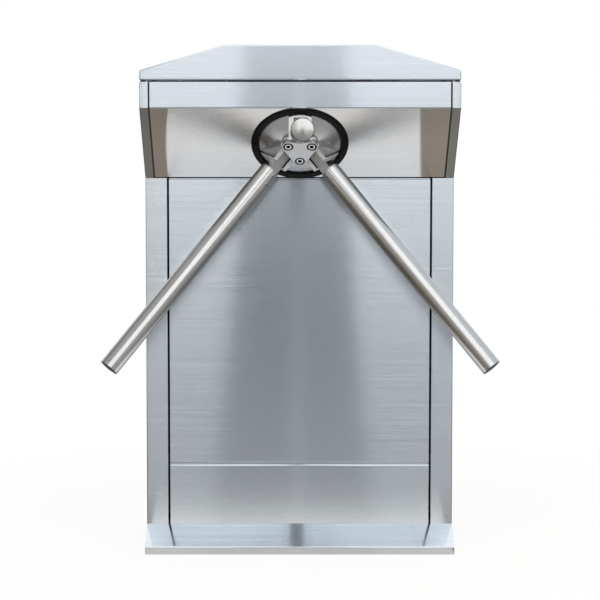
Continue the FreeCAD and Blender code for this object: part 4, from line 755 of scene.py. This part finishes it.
# arms
def lathe(work, profile, origin, axis, steps):
    side = axis.orthogonal().normalized()
    other = axis.cross(side)
    turns = [2 * math.pi * step / steps for step in range(steps)]
    spokes = [side * math.cos(turn) + other * math.sin(turn) for turn in turns]
    rings = []
    for radius, along in profile:
        centre = origin + axis * along
        if radius == 0:
            rings.append([work.verts.new(centre)])
            continue
        rings.append([work.verts.new(centre + spoke * radius) for spoke in spokes])
    closed = len(rings[0]) > 1
    for index in range(len(rings) if closed else len(rings) - 1):
        first, second = rings[index], rings[(index + 1) % len(rings)]
        for step in range(steps):
            after = (step + 1) % steps
            corners = [first[step % len(first)], first[after % len(first)],
                       second[after % len(second)], second[step % len(second)]]
            unique = list(dict.fromkeys(corners))
            if len(unique) > 2:
                work.faces.new(unique)
    bmesh.ops.recalc_face_normals(work, faces=work.faces)


arms = {
    "radius": 0.02,
    "wall": 0.0015,
    "tubeStart": 0.102,
    "tubeEnd": 0.619,
    "reach": 0.622,
    "crown": 0.0018,
    "capEdge": 0.0012,
    "edgeSteps": 4,
    "crownSteps": 8,
    "plug": 0.015,
    "plugFit": 0.00015,
    "lip": 0.0005,
    "soft": 0.3,  # share of an edge's radius at its chamfer
    "screws": (0.111, 0.133),
    "rootEdge": 0.0008,
    "shoulder": 0.0995,
    "steps": 96,
    "sharp": 50,
}


def armTube(index):
    r, lip = arms["radius"], arms["lip"]
    soft = lip * arms["soft"]
    bore = r - arms["wall"]
    start, end = arms["tubeStart"], arms["tubeEnd"]
    work = bmesh.new()
    lathe(work, [(bore, start), (r - lip, start), (r - soft, start + soft), (r, start + lip),
                 (r, end - lip), (r - soft, end - soft), (r - lip, end), (bore, end)],
          apex, armAxis(index), arms["steps"])
    replaced = [f"arm_tube_{index + 1}"]
    finishPiece(f"armTube{index + 1}", work, finishes["arm_steel"], replaced, sharp=arms["sharp"])


def armCap(index):
    r, crown, reach, edge = arms["radius"], arms["crown"], arms["reach"], arms["capEdge"]
    soft = edge * arms["soft"]
    bore = r - arms["wall"] - arms["plugFit"]
    base = arms["tubeEnd"]
    profile = [(0, base - arms["plug"]), (bore, base - arms["plug"]), (bore, base), (r - soft, base),
               (r, base + soft)]
    for step in range(arms["edgeSteps"] + 1):
        turn = step / arms["edgeSteps"] * math.pi / 2
        profile.append((r - edge * (1 - math.cos(turn)), reach - crown - edge * (1 - math.sin(turn))))
    for step in range(1, arms["crownSteps"] + 1):
        share = 1 - step / arms["crownSteps"]
        profile.append(((r - edge) * share, reach - crown * share * share))
    work = bmesh.new()
    lathe(work, profile, apex, armAxis(index), arms["steps"])
    for face in work.faces:
        offset = face.calc_center_median() - apex
        outward = (offset - armAxis(index) * offset.dot(armAxis(index))).length
        # the cap's rounded rim takes the near-black copy: painted shade
        face.material_index = int(outward > r - edge)
    used = [finishes["arm_cap"], finishes["cap_rim"]]
    finishPiece(f"armCap{index + 1}", work, used, [f"arm_cap_{index + 1}"], sharp=arms["sharp"])


for index in range(3):
    armTube(index)
    armCap(index)
    work = gatherNode(f"arm_root_{index + 1}")
    roundEdges(work, arms["rootEdge"], steps=2, leastWidth=0)
    for face in work.faces:
        # the tongue's inner flat behind the shoulder takes the darker copy: painted shade
        behind = (face.calc_center_median() - apex).dot(armAxis(index)) < arms["shoulder"]
        face.material_index = int(behind and face.normal.dot(armInward(index)) > rotor["sameFacing"])
    finishPiece(f"armRoot{index + 1}", work, [finishes["arm_steel"], finishes["tongue_satin_painted_shade"]],
                [f"arm_root_{index + 1}"])
print("arms finished")


# socket screws, spread by a node tree over points that carry their facing
headForm = {
    "steps": 48,
    "domeSteps": 4,
    "foot": 0.5,
    "wall": 0.55,
    "rimWidth": 0.05,
    "rimDrop": 0.06,
    "sharp": 40,
}


def socketHead(name, radius, height, sink, socket, depth, dome):
    steps, wall = headForm["steps"], height * headForm["wall"]
    work = bmesh.new()

    def hexRadius(turn):
        return socket / 2 / math.cos((turn + math.pi / 6) % (math.pi / 3) - math.pi / 6)

    levels = [(lambda t: radius * headForm["foot"], -sink)]
    levels += [(lambda t: radius, level) for level in (-sink, wall)]
    for step in range(1, headForm["domeSteps"] + 1):
        turn = step / headForm["domeSteps"] * math.pi / 2
        levels.append((lambda t, turn=turn: radius - dome * (1 - math.cos(turn)),
                       wall + (height - wall) * math.sin(turn)))
    levels.append((lambda t: hexRadius(t) + radius * headForm["rimWidth"], height))
    levels.append((hexRadius, height - radius * headForm["rimDrop"]))
    levels.append((hexRadius, height - depth))
    # the hex socket's walls and floor get painted shade
    paintedShade = work.faces.layers.float.new("paintedShade")
    turns = [2 * math.pi * step / steps for step in range(steps)]
    rings = []
    for reach, level in levels:
        spots = [(reach(turn) * math.cos(turn), reach(turn) * math.sin(turn), level) for turn in turns]
        rings.append([work.verts.new(spot) for spot in spots])
    for first, second in zip(rings, rings[1:]):
        for step in range(steps):
            after = (step + 1) % steps
            face = work.faces.new([first[step], first[after], second[after], second[step]])
            face[paintedShade] = 1 if second is rings[-1] else 0
    work.faces.new(list(reversed(rings[0])))
    work.faces.new(rings[-1])[paintedShade] = 1
    mesh = bpy.data.meshes.new(name)
    work.to_mesh(mesh)
    work.free()
    mesh.polygons.foreach_set("use_smooth", [True] * len(mesh.polygons))
    mesh.set_sharp_from_angle(angle=math.radians(headForm["sharp"]))
    return bpy.data.objects.new(name, mesh)


def spreadTree():
    tree = bpy.data.node_groups.new("spreadHeads", "GeometryNodeTree")
    face = tree.interface
    face.new_socket("Geometry", in_out="INPUT", socket_type="NodeSocketGeometry")
    face.new_socket("Head", in_out="INPUT", socket_type="NodeSocketObject")
    face.new_socket("Material", in_out="INPUT", socket_type="NodeSocketMaterial")
    face.new_socket("Twist", in_out="INPUT", socket_type="NodeSocketFloat")
    face.new_socket("Seed", in_out="INPUT", socket_type="NodeSocketInt")
    face.new_socket("Geometry", in_out="OUTPUT", socket_type="NodeSocketGeometry")
    add, link = tree.nodes.new, tree.links.new
    source = add("NodeGroupInput")
    target = add("NodeGroupOutput")
    head = add("GeometryNodeObjectInfo")
    facing = add("GeometryNodeInputNamedAttribute")
    facing.data_type = "FLOAT_VECTOR"
    facing.inputs["Name"].default_value = "facing"
    align = add("FunctionNodeAlignRotationToVector")
    align.axis = "Z"
    twist = add("FunctionNodeRandomValue")
    twist.data_type = "FLOAT"
    spin = add("FunctionNodeAxisAngleToRotation")
    spin.inputs["Axis"].default_value = (0, 0, 1)
    turn = add("FunctionNodeRotateRotation")
    turn.rotation_space = "LOCAL"
    place = add("GeometryNodeInstanceOnPoints")
    real = add("GeometryNodeRealizeInstances")
    paint = add("GeometryNodeSetMaterial")
    link(source.outputs["Head"], head.inputs["Object"])
    link(facing.outputs["Attribute"], align.inputs["Vector"])
    link(source.outputs["Twist"], twist.inputs[3])
    link(source.outputs["Seed"], twist.inputs["Seed"])
    link(twist.outputs[1], spin.inputs["Angle"])
    link(align.outputs[0], turn.inputs["Rotation"])
    link(spin.outputs[0], turn.inputs["Rotate By"])
    link(source.outputs["Geometry"], place.inputs["Points"])
    link(head.outputs["Geometry"], place.inputs["Instance"])
    link(turn.outputs[0], place.inputs["Rotation"])
    link(place.outputs[0], real.inputs[0])
    link(real.outputs[0], paint.inputs["Geometry"])
    link(source.outputs["Material"], paint.inputs["Material"])
    link(paint.outputs[0], target.inputs[0])
    return tree


headSpread = spreadTree()


def settleTree(name, mesh, tree, values):
    carrier = bpy.data.objects.new(name + "Source", mesh)
    scene.collection.objects.link(carrier)
    run = carrier.modifiers.new("run", "NODES")
    run.node_group = tree
    for socket in tree.interface.items_tree:
        if socket.in_out == "INPUT" and socket.name in values:
            run[socket.identifier] = values[socket.name]
    graph = bpy.context.evaluated_depsgraph_get()
    settled = bpy.data.meshes.new_from_object(carrier.evaluated_get(graph), depsgraph=graph)
    settled.name = name
    bpy.data.objects.remove(carrier)
    piece = bpy.data.objects.new(name, settled)
    scene.collection.objects.link(piece)
    return piece


def spreadHeads(name, head, spots, facings, seed, replaced=None, body=None):
    mesh = bpy.data.meshes.new(name + "Points")
    mesh.from_pydata(spots, [], [])
    mesh.attributes.new("facing", "FLOAT_VECTOR", "POINT").data.foreach_set(
        "vector", [part for facing in facings for part in facing])
    piece = settleTree(name, mesh, headSpread, {
        "Head": head, "Material": finishes["screw_steel"], "Twist": screws["twist"], "Seed": seed})
    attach(piece, body or bodyOf[replaced])
    if replaced:
        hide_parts(replaced)


screws = {
    "coverHead": dict(radius=0.0069, height=0.0, sink=0.0057, socket=0.0076, depth=0.004, dome=0.0006),
    "armHead": dict(radius=0.004, height=0.0019, sink=0.0008, socket=0.0026, depth=0.0012, dome=0.0016),
    "hingeHead": dict(radius=0.0032, height=0.0008, sink=0.0004, socket=0.0022, depth=0.0008, dome=0.0006),
    "panelHead": dict(radius=0.0046, height=0.0018, sink=0.0004, socket=0.003, depth=0.0014, dome=0.0018),
    "coverDrop": 0.0003,
    "hingeColumns": (0.172, 0.208),
    "hingeFace": 0.082,
    "fixedRow": 0.9605,
    "lidRow": 0.9935,
    "panelColumns": (-0.262, 0.262),
    "panelRows": (0.12, 0.4, 0.68),
    "panelFace": 0.08,
    "twist": 1.0,
    "seed": 4,
}
coverHead = socketHead("coverHead", **screws["coverHead"])
armHead = socketHead("armHead", **screws["armHead"])
hingeHead = socketHead("hingeHead", **screws["hingeHead"])
panelHead = socketHead("panelHead", **screws["panelHead"])
spreadHeads("coverScrews", coverHead, [spot - rotor["axis"] * screws["coverDrop"] for spot in earSpots],
            [rotor["axis"]] * 3, screws["seed"], "cover_screws")
for index in range(3):
    along, inward = armAxis(index), armInward(index)
    spots = [apex + along * reach + inward * arms["radius"] for reach in arms["screws"]]
    spreadHeads(f"armScrews{index + 1}", armHead, spots, [inward] * 2, screws["seed"] + index,
                f"arm_screws_{index + 1}")
backward = Vector((0, 1, 0))
hingeColumns = [side * x for side in (-1, 1) for x in screws["hingeColumns"]]
for name, row, body in (("hingeScrewsFixed", "fixedRow", "cabinet"), ("hingeScrewsLid", "lidRow", "lid")):
    spots = [(x, screws["hingeFace"], screws[row]) for x in hingeColumns]
    spreadHeads(name, hingeHead, spots, [backward] * len(spots), screws["seed"], body=body)
spots = [(x, screws["panelFace"], z) for x in screws["panelColumns"] for z in screws["panelRows"]]
spreadHeads("rearPanelScrews", panelHead, spots, [backward] * len(spots), screws["seed"], body="cabinet")
print("screws placed")


# centring spring: a wound wire between its two hooks
coil = {
    "turns": 22,
    "radius": 0.0041,
    "wire": 0.0008,
    "lead": 0.009,
    "turnSteps": 24,
    "wireSteps": 10,
}


def coilTree():
    tree = bpy.data.node_groups.new("windCoil", "GeometryNodeTree")
    face = tree.interface
    face.new_socket("Geometry", in_out="INPUT", socket_type="NodeSocketGeometry")
    for name in ("Turns", "Radius", "Wire", "Lead", "Length"):
        face.new_socket(name, in_out="INPUT", socket_type="NodeSocketFloat")
    face.new_socket("Material", in_out="INPUT", socket_type="NodeSocketMaterial")
    face.new_socket("Geometry", in_out="OUTPUT", socket_type="NodeSocketGeometry")
    add, link = tree.nodes.new, tree.links.new
    source, target = add("NodeGroupInput"), add("NodeGroupOutput")
    radius, lead, length = source.outputs["Radius"], source.outputs["Lead"], source.outputs["Length"]

    def less(first, second):
        step = add("ShaderNodeMath")
        step.operation = "SUBTRACT"
        link(first, step.inputs[0])
        link(second, step.inputs[1])
        return step.outputs[0]

    def point(x, z):
        spot = add("ShaderNodeCombineXYZ")
        for socket, name in ((x, "X"), (z, "Z")):
            if socket is not None:
                link(socket, spot.inputs[name])
        return spot.outputs[0]

    tail = less(length, lead)
    spiral = add("GeometryNodeCurveSpiral")
    spiral.inputs["Resolution"].default_value = coil["turnSteps"]
    link(source.outputs["Turns"], spiral.inputs["Rotations"])
    link(radius, spiral.inputs["Start Radius"])
    link(radius, spiral.inputs["End Radius"])
    link(less(tail, lead), spiral.inputs["Height"])
    lift = add("GeometryNodeTransform")
    link(spiral.outputs[0], lift.inputs["Geometry"])
    link(point(None, lead), lift.inputs["Translation"])
    wires = add("GeometryNodeJoinGeometry")
    link(lift.outputs[0], wires.inputs[0])
    for start, end in ((point(None, None), point(None, lead)), (point(None, lead), point(radius, lead)),
                       (point(radius, tail), point(None, tail)), (point(None, tail), point(None, length))):
        line = add("GeometryNodeCurvePrimitiveLine")
        link(start, line.inputs["Start"])
        link(end, line.inputs["End"])
        link(line.outputs[0], wires.inputs[0])
    ring = add("GeometryNodeCurvePrimitiveCircle")
    ring.inputs["Resolution"].default_value = coil["wireSteps"]
    link(source.outputs["Wire"], ring.inputs["Radius"])
    sweep = add("GeometryNodeCurveToMesh")
    sweep.inputs["Fill Caps"].default_value = True
    link(wires.outputs[0], sweep.inputs["Curve"])
    link(ring.outputs[0], sweep.inputs["Profile Curve"])
    real = add("GeometryNodeRealizeInstances")
    paint = add("GeometryNodeSetMaterial")
    link(sweep.outputs[0], real.inputs[0])
    link(real.outputs[0], paint.inputs["Geometry"])
    link(source.outputs["Material"], paint.inputs["Material"])
    link(paint.outputs[0], target.inputs[0])
    return tree


corners = [vert.co for vert in nodes["centring_spring"].data.vertices]
middle = sum(spot.x for spot in corners) / len(corners)
ends = []
for side in (-1, 1):
    group = [spot for spot in corners if (spot.x - middle) * side > 0]
    ends.append(sum(group, Vector()) / len(group))
run = ends[1] - ends[0]
dot = bpy.data.meshes.new("coilSource")
dot.from_pydata([(0, 0, 0)], [], [])
piece = settleTree("centringCoil", dot, coilTree(), {
    "Turns": coil["turns"], "Radius": coil["radius"], "Wire": coil["wire"], "Lead": coil["lead"],
    "Length": run.length, "Material": finishes["spring_steel"]})
piece.data.transform(Matrix.Translation(ends[0]) @ run.to_track_quat("Z", "X").to_matrix().to_4x4())
piece.data.polygons.foreach_set("use_smooth", [True] * len(piece.data.polygons))
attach(piece, bodyOf["centring_spring"])
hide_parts("centring_spring")
print("spring wound")

# more solids keep their form and get softened edges; those not listed stay as they come
softEdges = {
    # node: edge radius
    "hinge_fixed_leaves": 0.0005,
    "hinge_lid_leaves": 0.0005,
    "lock_barrel": 0.0006,
    "lock_core": 0.0004,
    "indicator_lenses": 0.0008,
    "lid_buffers": 0.0006,
    "base_plate": 0.0008,
    "cable_grommet": 0.0008,
    "frame_posts": 0.001,
    "frame_rails": 0.001,
    "mechanism_plate": 0.0008,
    "bearing_housing": 0.0008,
    "lock_plate": 0.0008,
    "solenoids": 0.0012,
    "plunger_left": 0.0005,
    "plunger_right": 0.0005,
    "pawl_left": 0.0006,
    "pawl_right": 0.0006,
    "damper": 0.0012,
    "rotor_shaft": 0.0008,
    "shaft_nut": 0.0006,
    "lock_disc": 0.0005,
    "drive_gear": 0.0003,
    "damper_pinion": 0.0003,
    "centring_crank": 0.0003,
    "power_supply": 0.0015,
    "component_plate": 0.0006,
}
softReach = 2.5  # faces narrower than this many radii keep their edges
for node, radius in softEdges.items():
    work = gatherNode(node)
    roundEdges(work, radius, steps=2, leastWidth=radius * softReach)
    finishPiece("soft_" + node, work, finishes[slotOf[node]], [node])
print("small parts softened")
